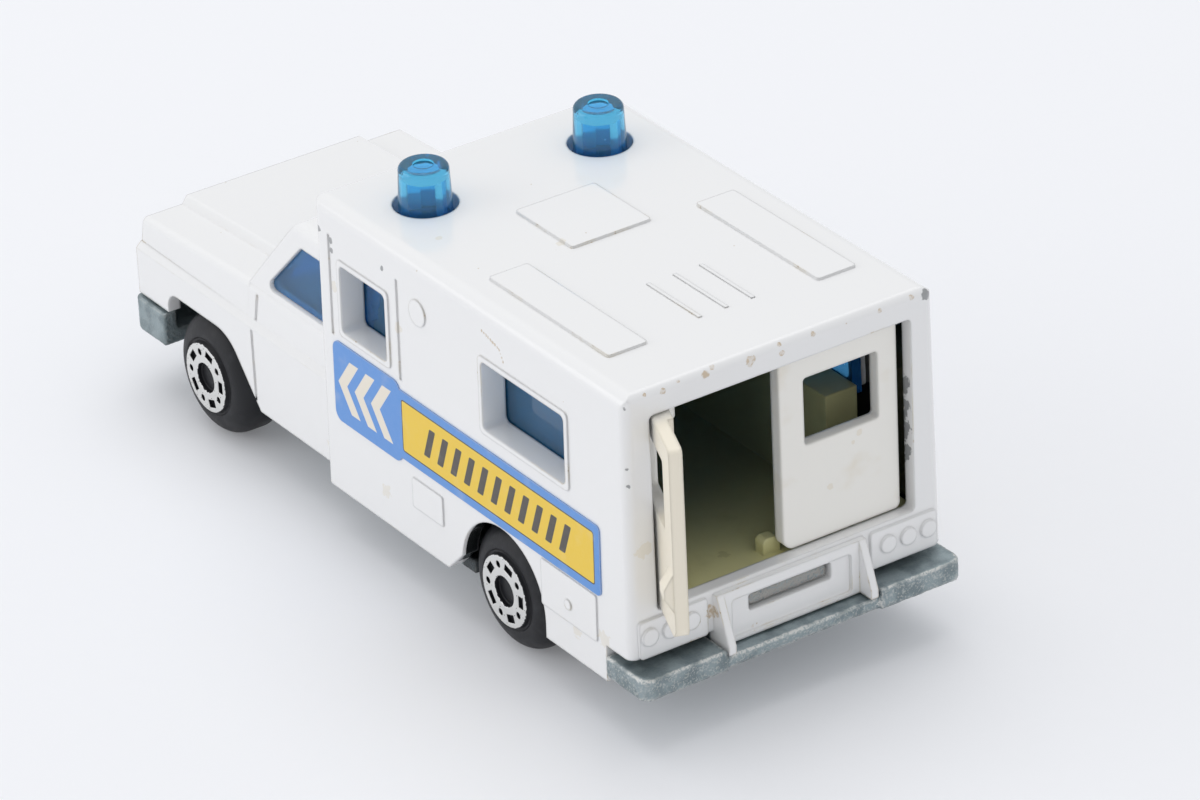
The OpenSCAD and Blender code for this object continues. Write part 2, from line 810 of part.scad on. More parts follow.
// Grille opening, and the bars and headlamps in the nose
grille_low_z = front_bumper_z + front_bumper_h + 0.9;
grille_high_z = crease_z + 1.2;
grille_depth = 0.8;

// Pockets round the headlamps in the bowed nose
headlamp_z = crease_z - cab_wall;
nose_lamp_y = grille_y + nose_bow_r - sqrt(nose_bow_r * nose_bow_r - headlamp_x * headlamp_x);

module grille_cut() {
    grille_r = 0.4;
    pocket_depth = 0.5;
    pocket = headlamp_d / 2 + 0.3;
    both_sides()
        lengthwise(grille_y - over, nose_lamp_y + pocket_depth)
            translate([headlamp_x, headlamp_z])
                soft_rect(-pocket, -pocket, pocket, pocket, grille_r);
    lengthwise(grille_y - over, grille_y + grille_depth)
        soft_rect(-grille_w / 2, grille_low_z, grille_w / 2, grille_high_z, grille_r);
}

module nose_trim() {
    bars = 3;
    bar_h = 0.5;
    pitch = (grille_high_z - grille_low_z) / (bars + 1);
    bar_x = grille_w / 2 + cab_wall / 2;
    bar_rear_y = grille_y + grille_depth + cab_wall / 2;
    for (i = [1 : bars])
        block([-bar_x, grille_y + grille_depth / 2, grille_low_z + i * pitch - bar_h / 2],
            [bar_x, bar_rear_y, grille_low_z + i * pitch + bar_h / 2]);
    for (side = [-1, 1])
        translate([side * headlamp_x, bar_rear_y, headlamp_z])
            rotate([90, 0, 0])
                cylinder(d = headlamp_d, h = bar_rear_y - nose_lamp_y + relief_h);
}

module body_shell() {
    color("white")
        place()
            difference() {
                union() {
                    difference() {
                        union() {
                            box_form();
                            cab_form();
                        }
                        box_hollow();
                        cab_hollow();
                        bumper_room();
                        wheel_arches();
                        cab_window_cuts(0);
                        grille_cut();
                    }
                    window_pads();
                    wall_relief();
                    roof_trim();
                    rear_trim();
                    hinge_seats();
                    rivet_post();
                    nose_trim();
                }
                across(body_w + 2 * over)
                    side_window_outlines(0);
                shut_lines();
                doorway();
                beacon_holes();
                tongue_slot();
                hinge_bores();
            }
}

// Outline of the base between the wheels and the body walls
module base_outline() {
    wide_x = wall_x(skirt_z) - wall - 2 * seat_gap;
    cab_x = cab_w / 2 - cab_wall - 2 * seat_gap;
    room = wheel_room_r + tyre_gap;
    soft_pair([
        [wide_x, -frame_t - seat_gap, 0], [wide_x, rear_wheel_y + room, 0],
        [wheel_inner_x, rear_wheel_y + room, 0], [wheel_inner_x, rear_wheel_y - room, 0],
        [wide_x, rear_wheel_y - room, 0], [wide_x, cab_y + wall + seat_gap, 0],
        [cab_x, cab_y + wall + seat_gap, 0], [cab_x, front_wheel_y + room, 0],
        [wheel_inner_x, front_wheel_y + room, 0], [wheel_inner_x, grille_y + nose_wall + seat_gap, 0]
    ]);
}

// Upright cradles that an axle drops into
cradle_w = 2;
cradle_x = wheel_inner_x - cradle_w - 0.65;

module axle_cradle(y) {
    cradle_len = 3.8;
    slot_d = axle_d + 2 * turn_gap;
    top_z = axle_z + 2 * axle_d;
    difference() {
        both_sides()
            block([cradle_x, y - cradle_len / 2, base_top_z - base_t / 2],
                [cradle_x + cradle_w, y + cradle_len / 2, top_z]);
        translate([0, y, axle_z])
            rotate([0, 90, 0])
                cylinder(d = slot_d, h = body_w, center = true);
        block([-body_w / 2, y - slot_d / 2, axle_z], [body_w / 2, y + slot_d / 2, top_z + over]);
    }
}

// Rear bumper with its lower middle, and the tongue that hooks into the body
module rear_bumper() {
    half = body_w / 2 + rear_bumper_side;
    end_x = bracket_x + bracket_t / 2 + 2 * seat_gap;
    end_r = 0.9;
    mid_in = 0.3;
    tongue_half = tongue_slot_w / 2 - 2 * seat_gap;
    tongue_low_z = tongue_slot_z - tongue_slot_h / 2 + 2 * seat_gap;
    tongue_high_z = tongue_slot_z + tongue_slot_h / 2 - 2 * seat_gap;
    tongue_r = 0.3;
    tongue_t = 1.1;
    wall_y = -frame_t - 2 * seat_gap;
    difference() {
        upright(rear_bumper_z, rear_bumper_top_z)
            soft_pair([[half, bumper_root_y, 0], [half, rear_bumper_out, end_r]]);
        block([-end_x, -frame_t, bumper_mid_z], [end_x, rear_bumper_out + over, roof_z]);
        block([-end_x, rear_bumper_out - mid_in, 0], [end_x, rear_bumper_out + over, roof_z]);
    }
    block([-tongue_half, wall_y - tongue_t, base_top_z - base_t / 2], [tongue_half, wall_y, tongue_high_z]);
    lengthwise(wall_y - tongue_t, -seat_gap)
        soft_rect(-tongue_half, tongue_low_z, tongue_half, tongue_high_z, tongue_r);
}

// Front bumper: a channel with swept ends that is open behind
module front_bumper() {
    half = cab_w / 2 + front_bumper_side;
    end_y = front_arch_y - 2 * seat_gap;
    end_r = 0.9;
    sweep = 1;
    sweep_x = half - 6;
    sweep_r = 2;
    bumper_t = 1.4;
    top_z = front_bumper_z + front_bumper_h;
    arm_x = wheel_inner_x - 0.8;
    difference() {
        upright(front_bumper_z, top_z)
            soft_pair([
                [sweep_x, bumper_front_y, sweep_r],
                [half, bumper_front_y + sweep, end_r], [half, end_y, 0]
            ]);
        block([-half + bumper_t, grille_y + bumper_t, front_bumper_z + bumper_t],
            [half - bumper_t, end_y + over, top_z + over]);
    }
    block([-arm_x, grille_y + bumper_t / 2, base_z],
        [arm_x, grille_y + nose_wall + 2 * bumper_t, front_bumper_z + bumper_t]);
}

// Troughs in the underside with the drive shaft and the exhaust pipe in them
trough_depth = 0.7;
pipe_d = 1.3;
muffler_d = 2.2;
exhaust_x = wheel_inner_x - 3.6;
shaft_len = 19;
shaft_front_y = rear_wheel_y - shaft_len;
exhaust_front_in = 8;
exhaust_front_y = front_wheel_y + exhaust_front_in;
muffler_y = (exhaust_front_y + rear_wheel_y) / 2;
muffler_len = 9;

module trough(x, y0, y1, w) {
    trough_r = 0.3;
    upright(base_z - over, base_z + trough_depth)
        soft_rect(x - w / 2, y0, x + w / 2, y1, trough_r);
}

module underside_troughs() {
    side_gap = 0.6;
    end_gap = 0.5;
    muffler_half = muffler_len / 2 + end_gap;
    trough(0, shaft_front_y, rear_wheel_y - end_gap, pipe_d + side_gap);
    trough(exhaust_x, exhaust_front_y, rear_wheel_y - end_gap, pipe_d + side_gap);
    trough(exhaust_x, muffler_y - muffler_half, muffler_y + muffler_half, muffler_d + side_gap);
}

module running_gear() {
    inset = 0.1;
    pipe_z = base_z + inset + pipe_d / 2;
    muffler_z = base_z + inset + muffler_d / 2;
    translate([0, rear_wheel_y, pipe_z])
        rotate([90, 0, 0])
            cylinder(d = pipe_d, h = rear_wheel_y - shaft_front_y + over);
    translate([exhaust_x, rear_wheel_y, pipe_z])
        rotate([90, 0, 0])
            cylinder(d = pipe_d, h = rear_wheel_y - exhaust_front_y + over);
    intersection() {
        translate([exhaust_x, muffler_y + muffler_len / 2, muffler_z])
            rotate([90, 0, 0])
                cylinder(d = muffler_d, h = muffler_len);
        block([-body_w, grille_y, base_z], [body_w, 0, base_top_z]);
    }
}

module base_plate() {
    color("slategray")
        place()
            difference() {
                union() {
                    difference() {
                        upright(base_z, base_top_z)
                            base_outline();
                        underside_troughs();
                    }
                    running_gear();
                    rear_bumper();
                    front_bumper();
                    axle_cradle(rear_wheel_y);
                    axle_cradle(front_wheel_y);
                }
                translate([0, post_y, base_z - over]) {
                    cylinder(d = rivet_d + 2 * seat_gap, h = base_t + 2 * over);
                    cylinder(d = rivet_head_d + 2 * seat_gap, h = over + rivet_low_z - base_z + rivet_head_h);
                }
            }
}

// Space that a pair of turning wheels needs inside the body
module wheel_room(y) {
    both_sides()
        translate([wheel_inner_x, y, axle_z])
            rotate([0, 90, 0])
                cylinder(r = wheel_room_r, h = wheel_w + 2 * over);
}

// A cabinet along a side wall, open below and towards the wall
module cabinet(x_out, top_z) {
    front_y = cab_y + 2 * wall;
    difference() {
        block([cabinet_x, front_y, floor_under_z], [x_out, -cabinet_y, top_z]);
        block([cabinet_x + mould_t, front_y + mould_t, 0],
            [x_out + over, -cabinet_y - mould_t, top_z - mould_t]);
    }
}

seat_z = floor_z + seat_h;
dash_y = screen_y + 2.2;

module cab_seat() {
    seat_x = belt_x - cab_wall - 2;
    back_y = cab_y + 0.5;
    back_t = 2.6;
    cushion_len = 7.5;
    seat_back_z = floor_z + seat_back_h;
    seat_r = 0.7;
    across(2 * seat_x)
        soft_polygon([
            [back_y, floor_under_z, 0], [back_y, seat_back_z, seat_r],
            [back_y - back_t + 0.8, seat_back_z, seat_r], [back_y - back_t, seat_z, 0],
            [back_y - back_t, floor_under_z, 0]
        ]);
    across(2 * seat_x)
        soft_rect(back_y - cushion_len, floor_under_z, back_y - back_t / 2, seat_z, seat_r);
}

// Dashboard with the steering wheel on the left
module dash() {
    dash_x = belt_x - cab_wall - 1.5;
    dash_z = hood_z - 1.4;
    lip_y = dash_y + 2.6;
    foot_y = dash_y + 1.4;
    dash_r = 0.5;
    steer_d = 4.6;
    steer_t = 0.6;
    column_d = 0.9;
    column_len = 2.4;
    across(2 * dash_x)
        soft_polygon([
            [dash_y, floor_under_z, 0], [dash_y, dash_z, dash_r],
            [lip_y, dash_z, dash_r], [foot_y, seat_z, 0], [foot_y, floor_under_z, 0]
        ]);
    translate([dash_x / 2, foot_y, seat_z + 1.2])
        rotate([-60, 0, 0]) {
            cylinder(d = column_d, h = column_len);
            translate([0, 0, column_len - steer_t / 2])
                cylinder(d = steer_d, h = steer_t);
        }
}

// Legs that stand on the base astride an axle and keep it down
module floor_legs(y) {
    leg_x = 3;
    leg_w = 1.6;
    leg_len = 3;
    slot_d = axle_d + 4 * seat_gap;
    difference() {
        both_sides()
            block([leg_x, y - leg_len / 2, base_top_z],
                [leg_x + leg_w, y + leg_len / 2, floor_z - mould_t / 2]);
        translate([0, y, axle_z])
            rotate([0, 90, 0])
                cylinder(d = slot_d, h = body_w, center = true);
        block([-body_w / 2, y - slot_d / 2, 0], [body_w / 2, y + slot_d / 2, axle_z]);
    }
}

// Stop in the middle of the floor that the closed doors rest near
module door_stop() {
    stop_x = -0.15;
    stop_len = 1.1;
    stop_r = 0.5;
    stop_gap = 0.3;
    lengthwise(door_inner_y - stop_gap - stop_len, door_inner_y - stop_gap)
        soft_polygon([
            [stop_x - stop_w / 2, floor_z - mould_t / 2, 0], [stop_x + stop_w / 2, floor_z - mould_t / 2, 0],
            [stop_x + stop_w / 2, floor_z + stop_h, stop_r], [stop_x - stop_w / 2, floor_z + stop_h, stop_r]
        ]);
}

module interior_moulding() {
    floor_x = wall_x(floor_z) - wall - 2 * seat_gap;
    cab_floor_x = cab_w / 2 - cab_wall - 3 * seat_gap;
    cabinet_z = floor_z + cabinet_h;
    pane_inner_x = wall_x(cabinet_z) - wall - pad_h - pane_t - seat_gap;
    boss_d = 2 * (-frame_t - hinge_y - seat_gap);
    tongue_x = 5;
    tongue_y = front_wheel_y - 1.5;
    color("cornsilk")
        place()
            difference() {
                union() {
                    block([-floor_x, cab_y + wall + seat_gap, floor_under_z],
                        [floor_x, -frame_t - seat_gap, floor_z]);
                    block([-cab_floor_x, dash_y, floor_under_z], [cab_floor_x, cab_y + 2 * wall, floor_z]);
                    block([-tongue_x, tongue_y, floor_under_z], [tongue_x, dash_y + over, floor_z]);
                    mirror([1, 0, 0])
                        cabinet(pane_inner_x - 3 * seat_gap, cabinet_z);
                    cabinet(floor_x, floor_z + bench_h);
                    cab_seat();
                    dash();
                    floor_legs(rear_wheel_y);
                    floor_legs(front_wheel_y);
                    door_stop();
                    for (side = [-1, 1])
                        translate([side * hinge_x, hinge_y, floor_z - mould_t / 2])
                            cylinder(d = boss_d, h = door_sill_z - floor_z + mould_t / 2);
                }
                for (side = [-1, 1])
                    translate([side * hinge_x, hinge_y, door_low_z - hinge_pin_len - seat_gap])
                        cylinder(d = hinge_pin_d + 2 * turn_gap, h = hinge_pin_len + over);
                wheel_room(rear_wheel_y);
            }
}

// Eight-sided hollow inside a beacon, open below
beacon_hollow_d = beacon_top_d - 1.5;

module beacon_hollow(high_z) {
    translate([0, 0, roof_under_z - 2 * pane_t])
        cylinder(d = beacon_hollow_d, h = high_z - roof_under_z + 2 * pane_t, $fn = 8);
}

module beacon() {
    foot_z = roof_under_z - pane_t;
    top_z = roof_z + beacon_h;
    edge_r = 0.45;
    crown_t = 1.3;
    dimple_d = 1.7;
    dimple_depth = 0.18;
    difference() {
        rotate_extrude()
            soft_polygon([
                [0, foot_z, 0], [beacon_d / 2, foot_z, 0], [beacon_d / 2, roof_z, 0],
                [beacon_top_d / 2, top_z, edge_r], [0, top_z, 0]
            ]);
        beacon_hollow(top_z - crown_t);
        translate([0, 0, top_z - dimple_depth])
            cylinder(d = dimple_d, h = over);
    }
}

// Clear moulding: a plate under the roof with side panes, the cab's glazing and the two beacons
module window_moulding() {
    side_in = wall + pad_h + seat_gap;
    top_in = wall + seat_gap;
    pane_low_z = side_window_z - 0.8;
    front_y = cab_y + wall + seat_gap;
    rear_y = -rear_window_y + 1.1;
    glazing_in = cab_wall + seat_gap;
    glazing_low_z = hood_z - 1;
    pass_x = belt_x - 3;
    inner_r = roof_edge_r / 2;
    color([0.1, 0.35, 0.75, 0.6])
        place() {
            difference() {
                union() {
                    difference() {
                        lengthwise(front_y, rear_y)
                            box_section(side_in, top_in, pane_low_z, inner_r);
                        lengthwise(front_y + pane_t, rear_y + over)
                            box_section(side_in + pane_t, top_in + pane_t, pane_low_z - over, inner_r);
                    }
                    greenhouse(glazing_in, front_y + pane_t / 2);
                    intersection() {
                        greenhouse(pane_set_in, cab_y);
                        cab_window_cuts(seat_gap);
                    }
                }
                greenhouse(glazing_in + pane_t, front_y + 2 * pane_t);
                block([-body_w, grille_y, 0], [body_w, front_y - seat_gap, glazing_low_z]);
                block([-pass_x, front_y - over, 0], [pass_x, front_y + 2 * pane_t, pane_low_z + over]);
                for (side = [-1, 1])
                    translate([side * beacon_span / 2, cab_y + beacon_in, 0])
                        beacon_hollow(roof_z);
            }
            for (side = [-1, 1])
                translate([side * beacon_span / 2, cab_y + beacon_in, 0])
                    beacon();
        }
}

// A closed left door in its place in the doorway
module door_blank() {
    window_x = door_free_x + door_window_in;
    window_end_x = door_edge_x - door_window_hinge_in;
    window_z = door_low_z + door_window_up;
    strap_h = 1.9;
    strap_t = 0.45;
    strap_x = hinge_x - 4;
    barrel_d = 1.6;
    edge_r = 0.5;
    difference() {
        union() {
            lengthwise(door_inner_y, -door_set_in)
                soft_polygon([
                    [door_free_x, door_low_z, 2 * edge_r], [door_edge_x, door_low_z, edge_r],
                    [door_edge_x, door_high_z, edge_r], [door_free_x, door_high_z, edge_r]
                ]);
            for (z = [door_low_z, door_high_z - strap_h]) {
                block([strap_x, door_inner_y - strap_t, z],
                    [door_edge_x, door_inner_y + strap_t / 2, z + strap_h]);
                translate([hinge_x, hinge_y, z])
                    cylinder(d = barrel_d, h = strap_h);
            }
        }
        lengthwise(door_inner_y - over, 0)
            soft_rect(window_x, window_z, window_end_x, window_z + door_window_h, door_window_r);
    }
    for (z = [door_low_z - hinge_pin_len, door_high_z - strap_h / 2])
        translate([hinge_x, hinge_y, z])
            cylinder(d = hinge_pin_d, h = hinge_pin_len + strap_h / 2);
}

// Wedge on the left door's face that a finger pulls
module finger_lift() {
    lift_w = 1.5;
    lift_h = 3.4;
    crown_h = 0.8;
    lift_in = 0.1;
    lift_z = door_low_z + lift_up;
    face_y = -door_set_in;
    root_y = face_y - door_t / 2;
    translate([door_free_x + lift_in + lift_w / 2, 0, 0])
        across(lift_w)
            polygon([
                [root_y, lift_z - lift_h / 2], [root_y, lift_z + lift_h / 2], [face_y, lift_z + lift_h / 2],
                [face_y + lift_out, lift_z + crown_h / 2], [face_y + lift_out, lift_z - crown_h / 2],
                [face_y, lift_z - lift_h / 2]
            ]);
}

module rear_door_left() {
    color("ivory")
        place()
            translate([hinge_x, hinge_y, 0])
                rotate([0, 0, -door_open_angle])
                    translate([-hinge_x, -hinge_y, 0]) {
                        door_blank();
                        finger_lift();
                    }
}

module rear_door_right() {
    color("ivory")
        place()
            mirror([1, 0, 0])
                door_blank();
}

// Where an axle's barb starts inside a wheel, how far it stands out, and where its needle point ends
barb_x = 0.95;
barb_h = 0.1;
tip_in = 1.2;

// An axle of thin wire with a barb and a needle point at each end
module axle(y) {
    neck_x = track_w / 2 - wheel_w + barb_x;
    tip_x = track_w / 2 - tip_in;
    r = axle_d / 2;
    color("silver")
        place()
            translate([0, y, axle_z])
                rotate([0, 90, 0])
                    rotate_extrude()
                        polygon([
                            [0, -tip_x], [r + barb_h, -neck_x], [r, -neck_x],
                            [r, neck_x], [r + barb_h, neck_x], [0, tip_x]
                        ]);
}

module front_axle() {
    axle(front_wheel_y);
}

module rear_axle() {
    axle(rear_wheel_y);
}

// Blind bore of a wheel: a lip that the barb snaps behind, and a chamber with a cone for the point
module wheel_bore() {
    lip_r = axle_d / 2 + turn_gap;
    chamber_r = lip_r + barb_h + turn_gap / 2;
    chamber_x = -wheel_w + barb_x - 2 * turn_gap;
    tip_x = -tip_in + 4 * turn_gap;
    cone_len = 0.6;
    translate([0, -wheel_w - over])
        square([lip_r, over + barb_x]);
    polygon([[0, chamber_x], [chamber_r, chamber_x], [chamber_r, tip_x - cone_len], [0, tip_x]]);
}

// A wheel with its axis along X and its hub face outwards at the origin
module wheel() {
    r = tyre_d / 2;
    hub_r = hub_d / 2;
    side_x = -0.65;
    inner_edge_r = 0.8;
    outer_edge_r = 1.7;
    hub_bevel = 0.2;
    centre_r = hub_r * 0.37;
    mark_r = hub_r * 0.74;
    mark_depth = 0.35;
    slot_size = [0.62, 0.95];
    dot_d = 0.5;
    rotate([0, 90, 0])
        difference() {
            rotate_extrude()
                difference() {
                    soft_polygon([
                        [0, -wheel_w, 0], [r, -wheel_w, inner_edge_r], [r, side_x, outer_edge_r],
                        [hub_r + hub_bevel, side_x, 0], [hub_r, 0, 0], [0, 0, 0]
                    ]);
                    wheel_bore();
                    translate([0, -mark_depth])
                        square([centre_r, over]);
                }
            for (i = [0 : hub_marks - 1])
                rotate([0, 0, i * 360 / hub_marks]) {
                    translate([mark_r, 0, -mark_depth])
                        linear_extrude(over)
                            square(slot_size, center = true);
                    rotate([0, 0, 180 / hub_marks])
                        translate([mark_r, 0, -mark_depth])
                            cylinder(d = dot_d, h = over);
                }
        }
}

module wheel_at(side, y) {
    color("dimgray")
        place()
            mirror([side < 0 ? 1 : 0, 0, 0])
                translate([track_w / 2, y, axle_z])
                    wheel();
}

module wheel_front_left() {
    wheel_at(1, front_wheel_y);
}

module wheel_front_right() {
    wheel_at(-1, front_wheel_y);
}

module wheel_rear_left() {
    wheel_at(1, rear_wheel_y);
}

module wheel_rear_right() {
    wheel_at(-1, rear_wheel_y);
}

// A label on the left wall: a long strip with a taller square at its front end
module label() {
    low = label_z - skirt_z;
    high = low + label_h;
    front_y = cab_y + label_front_in;
    square_y = front_y + label_square;
    strip_y = (front_y + square_y) / 2;
    strip_r = 0.5;
    corner = 0.9;
    on_wall(0, label_t) {
        soft_polygon([
            [strip_y, low, 0], [-label_y, low, strip_r],
            [-label_y, high, strip_r], [strip_y, high, 0]
        ]);
        soft_rect(front_y, low - label_step, square_y, high + label_step, corner);
    }
}

module side_label_left() {
    color("goldenrod")
        place()
            label();
}

module side_label_right() {
    color("goldenrod")
        place()
            mirror([1, 0, 0])
                label();
}

body_shell();
base_plate();
interior_moulding();
window_moulding();
rear_door_left();
rear_door_right();
front_axle();
rear_axle();
wheel_front_left();
wheel_front_right();
wheel_rear_left();
wheel_rear_right();
side_label_left();
side_label_right();
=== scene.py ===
import math

import bmesh
import bpy
from mathutils import Matrix, Vector


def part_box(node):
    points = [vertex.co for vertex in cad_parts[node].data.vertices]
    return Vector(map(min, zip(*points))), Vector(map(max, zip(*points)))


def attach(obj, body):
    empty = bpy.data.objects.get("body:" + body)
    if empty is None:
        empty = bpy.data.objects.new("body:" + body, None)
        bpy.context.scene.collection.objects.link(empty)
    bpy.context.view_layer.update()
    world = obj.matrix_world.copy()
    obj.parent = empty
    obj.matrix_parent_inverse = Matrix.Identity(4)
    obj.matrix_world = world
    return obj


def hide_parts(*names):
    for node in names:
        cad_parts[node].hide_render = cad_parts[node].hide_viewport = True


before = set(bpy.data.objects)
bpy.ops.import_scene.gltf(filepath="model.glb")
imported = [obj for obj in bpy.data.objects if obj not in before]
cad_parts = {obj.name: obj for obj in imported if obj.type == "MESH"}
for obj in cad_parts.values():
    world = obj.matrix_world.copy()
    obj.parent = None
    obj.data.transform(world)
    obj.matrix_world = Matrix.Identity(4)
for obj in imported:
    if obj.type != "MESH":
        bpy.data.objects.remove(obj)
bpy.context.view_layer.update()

# Body casting: cab, box and roof in one zinc die casting, sprayed with thick glossy white enamel.
# The paint rounds every edge, and play has chipped and yellowed it along the rear frame and the corners.
# Its unpainted inside and its rear wheel wells are painted near black as shade.
MM = 0.001


def srgb(red, green, blue):
    """A colour given as 0 to 255, as the linear colour that shaders use."""
    parts = [value / 255 for value in (red, green, blue)]
    return tuple(v / 12.92 if v <= 0.04045 else ((v + 0.055) / 1.055) ** 2.4 for v in parts) + (1.0,)


def add(tree, kind, inputs, **settings):
    """A new node with its settings, and with each input set to a value or joined to a socket."""
    made = tree.nodes.new(kind)
    for name, value in settings.items():
        setattr(made, name, value)
    for name, value in inputs.items():
        if isinstance(value, bpy.types.NodeSocket):
            tree.links.new(value, made.inputs[name])
        else:
            made.inputs[name].default_value = value
    return made


def calc(tree, operation, *values):
    """The result of one sum on up to three values or sockets."""
    return add(tree, "ShaderNodeMath", dict(enumerate(values)), operation=operation).outputs[0]


def spread(tree, value, low, high, to_low=0.0, to_high=1.0):
    """A value moved smoothly from one range to another and held at both ends."""
    inputs = {"Value": value, "From Min": low, "From Max": high, "To Min": to_low, "To Max": to_high}
    return add(tree, "ShaderNodeMapRange", inputs, interpolation_type="SMOOTHSTEP").outputs["Result"]


def blend_colour(tree, mask, under, over):
    """The colour under a mask where it is 0, and over it where it is 1."""
    under_socket, over_socket, result = 6, 7, 2
    inputs = {"Factor": mask, under_socket: under, over_socket: over}
    return add(tree, "ShaderNodeMix", inputs, data_type="RGBA").outputs[result]


def place_mm(tree):
    """The place on the object in millimetres, which moves with the piece."""
    where = tree.nodes.new("ShaderNodeTexCoord").outputs["Object"]
    return add(tree, "ShaderNodeVectorMath", {0: where, "Scale": 1 / MM}, operation="SCALE").outputs[0]


def axes(tree, vector):
    """A vector's three parts, by the names X, Y and Z."""
    return add(tree, "ShaderNodeSeparateXYZ", {0: vector}).outputs


def length(tree, across, up):
    """The distance from the origin of a point on a plane."""
    squares = [calc(tree, "POWER", value, 2.0) for value in (across, up)]
    return calc(tree, "SQRT", calc(tree, "ADD", *squares))


def noise(tree, size_mm, detail):
    """Cloudy noise from 0 to 1 whose blobs are about size_mm across."""
    inputs = {"Vector": place_mm(tree), "Scale": 1 / size_mm, "Detail": detail}
    return add(tree, "ShaderNodeTexNoise", inputs).outputs["Fac"]


def start_group(name, inputs, outputs):
    """A shader node group with named number inputs, and outputs given as name and kind."""
    group = bpy.data.node_groups.new(name, "ShaderNodeTree")
    for label, default in inputs.items():
        socket = group.interface.new_socket(label, in_out="INPUT", socket_type="NodeSocketFloat")
        socket.default_value = default
    for label, kind in outputs.items():
        group.interface.new_socket(label, in_out="OUTPUT", socket_type="NodeSocket" + kind)
    return group, group.nodes.new("NodeGroupInput").outputs, group.nodes.new("NodeGroupOutput").inputs


def make_soft_edges():
    """Rounded edges: a normal that bends round them, and a mask that is 1 on the sharpest."""
    blunt, sharp = 0.98, 0.78
    outputs = {"Normal": "Vector", "Edge": "Float"}
    group, given, put = start_group("soft_edges", {"Radius": 0.2 * MM}, outputs)
    bent = add(group, "ShaderNodeBevel", {"Radius": given["Radius"]}, samples=8).outputs[0]
    own = group.nodes.new("ShaderNodeNewGeometry").outputs["Normal"]
    alike = add(group, "ShaderNodeVectorMath", {0: bent, 1: own}, operation="DOT_PRODUCT").outputs["Value"]
    group.links.new(bent, put["Normal"])
    group.links.new(spread(group, alike, blunt, sharp), put["Edge"])
    return group


def make_speckle():
    """Scattered specks, such as dust and pinholes: only some cells of a fine pattern hold one."""
    sizes = {"Pitch": 1.0, "Size": 0.1, "Cover": 0.2}
    group, given, put = start_group("speckle", sizes, {"Mask": "Float"})
    inputs = {"Vector": place_mm(group), "Scale": calc(group, "DIVIDE", 1.0, given["Pitch"])}
    cells = add(group, "ShaderNodeTexVoronoi", inputs)
    reach = calc(group, "MULTIPLY", cells.outputs["Distance"], given["Pitch"])
    near = calc(group, "LESS_THAN", reach, given["Size"])
    lot = add(group, "ShaderNodeSeparateColor", {"Color": cells.outputs["Color"]}).outputs[0]
    chosen = calc(group, "LESS_THAN", lot, given["Cover"])
    group.links.new(calc(group, "MULTIPLY", near, chosen), put["Mask"])
    return group


def make_mark():
    """One mark with a ragged rim, such as a chip or a stain, at a place and of a size in mm."""
    sizes = {"X": 0.0, "Y": 0.0, "Z": 0.0, "Size": 0.5, "Ragged": 0.5}
    raggedness, outside, inside = 1.6, 1.65, 1.45
    group, given, put = start_group("mark", sizes, {"Mask": "Float"})
    where = place_mm(group)
    spot = add(group, "ShaderNodeCombineXYZ", {axis: given[axis] for axis in "XYZ"}).outputs[0]
    away = add(group, "ShaderNodeVectorMath", {0: where, 1: spot}, operation="DISTANCE").outputs["Value"]
    share = calc(group, "DIVIDE", away, given["Size"])
    rim = calc(group, "ADD", share, calc(group, "MULTIPLY", given["Ragged"], raggedness))
    group.links.new(spread(group, rim, outside, inside), put["Mask"])
    return group


soft_edges = make_soft_edges()
speckle = make_speckle()
mark = make_mark()


def use(tree, group, **inputs):
    """A node group placed in a material with its own values."""
    named = {name.replace("_", " ").title(): value for name, value in inputs.items()}
    return add(tree, "ShaderNodeGroup", named, node_tree=group).outputs


def start_material(name):
    """A new material, its node tree and its Principled shader."""
    material = bpy.data.materials.new(name)
    material.use_nodes = True
    return material, material.node_tree, material.node_tree.nodes["Principled BSDF"]


def bumped(tree, height, depth_mm, normal):
    """A normal with a height in shares of depth_mm laid over it."""
    inputs = {"Height": height, "Distance": depth_mm * MM, "Normal": normal}
    return add(tree, "ShaderNodeBump", inputs).outputs[0]


def dress(node_name, material):
    """Gives a piece of the frame one material all over."""
    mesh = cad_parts[node_name].data
    mesh.materials.clear()
    mesh.materials.append(material)


def marked(tree, spots, ragged):
    """One mask with all the marks of a list of x, y, z and size in mm, with rims frayed by a noise."""
    mask = 0.0
    for x, y, z, size in spots:
        spot = use(tree, mark, x=x, y=y, z=z, size=size, ragged=ragged)["Mask"]
        mask = calc(tree, "MAXIMUM", mask, spot)
    return mask


def near_rear_axle(tree, reach):
    """Mask of what lies within a reach in mm of the rear axle's line."""
    axle_y, axle_z = 17.11, 5.4
    where = axes(tree, place_mm(tree))
    along = calc(tree, "SUBTRACT", where["Y"], axle_y)
    up = calc(tree, "SUBTRACT", where["Z"], axle_z)
    return calc(tree, "LESS_THAN", length(tree, along, up), reach)


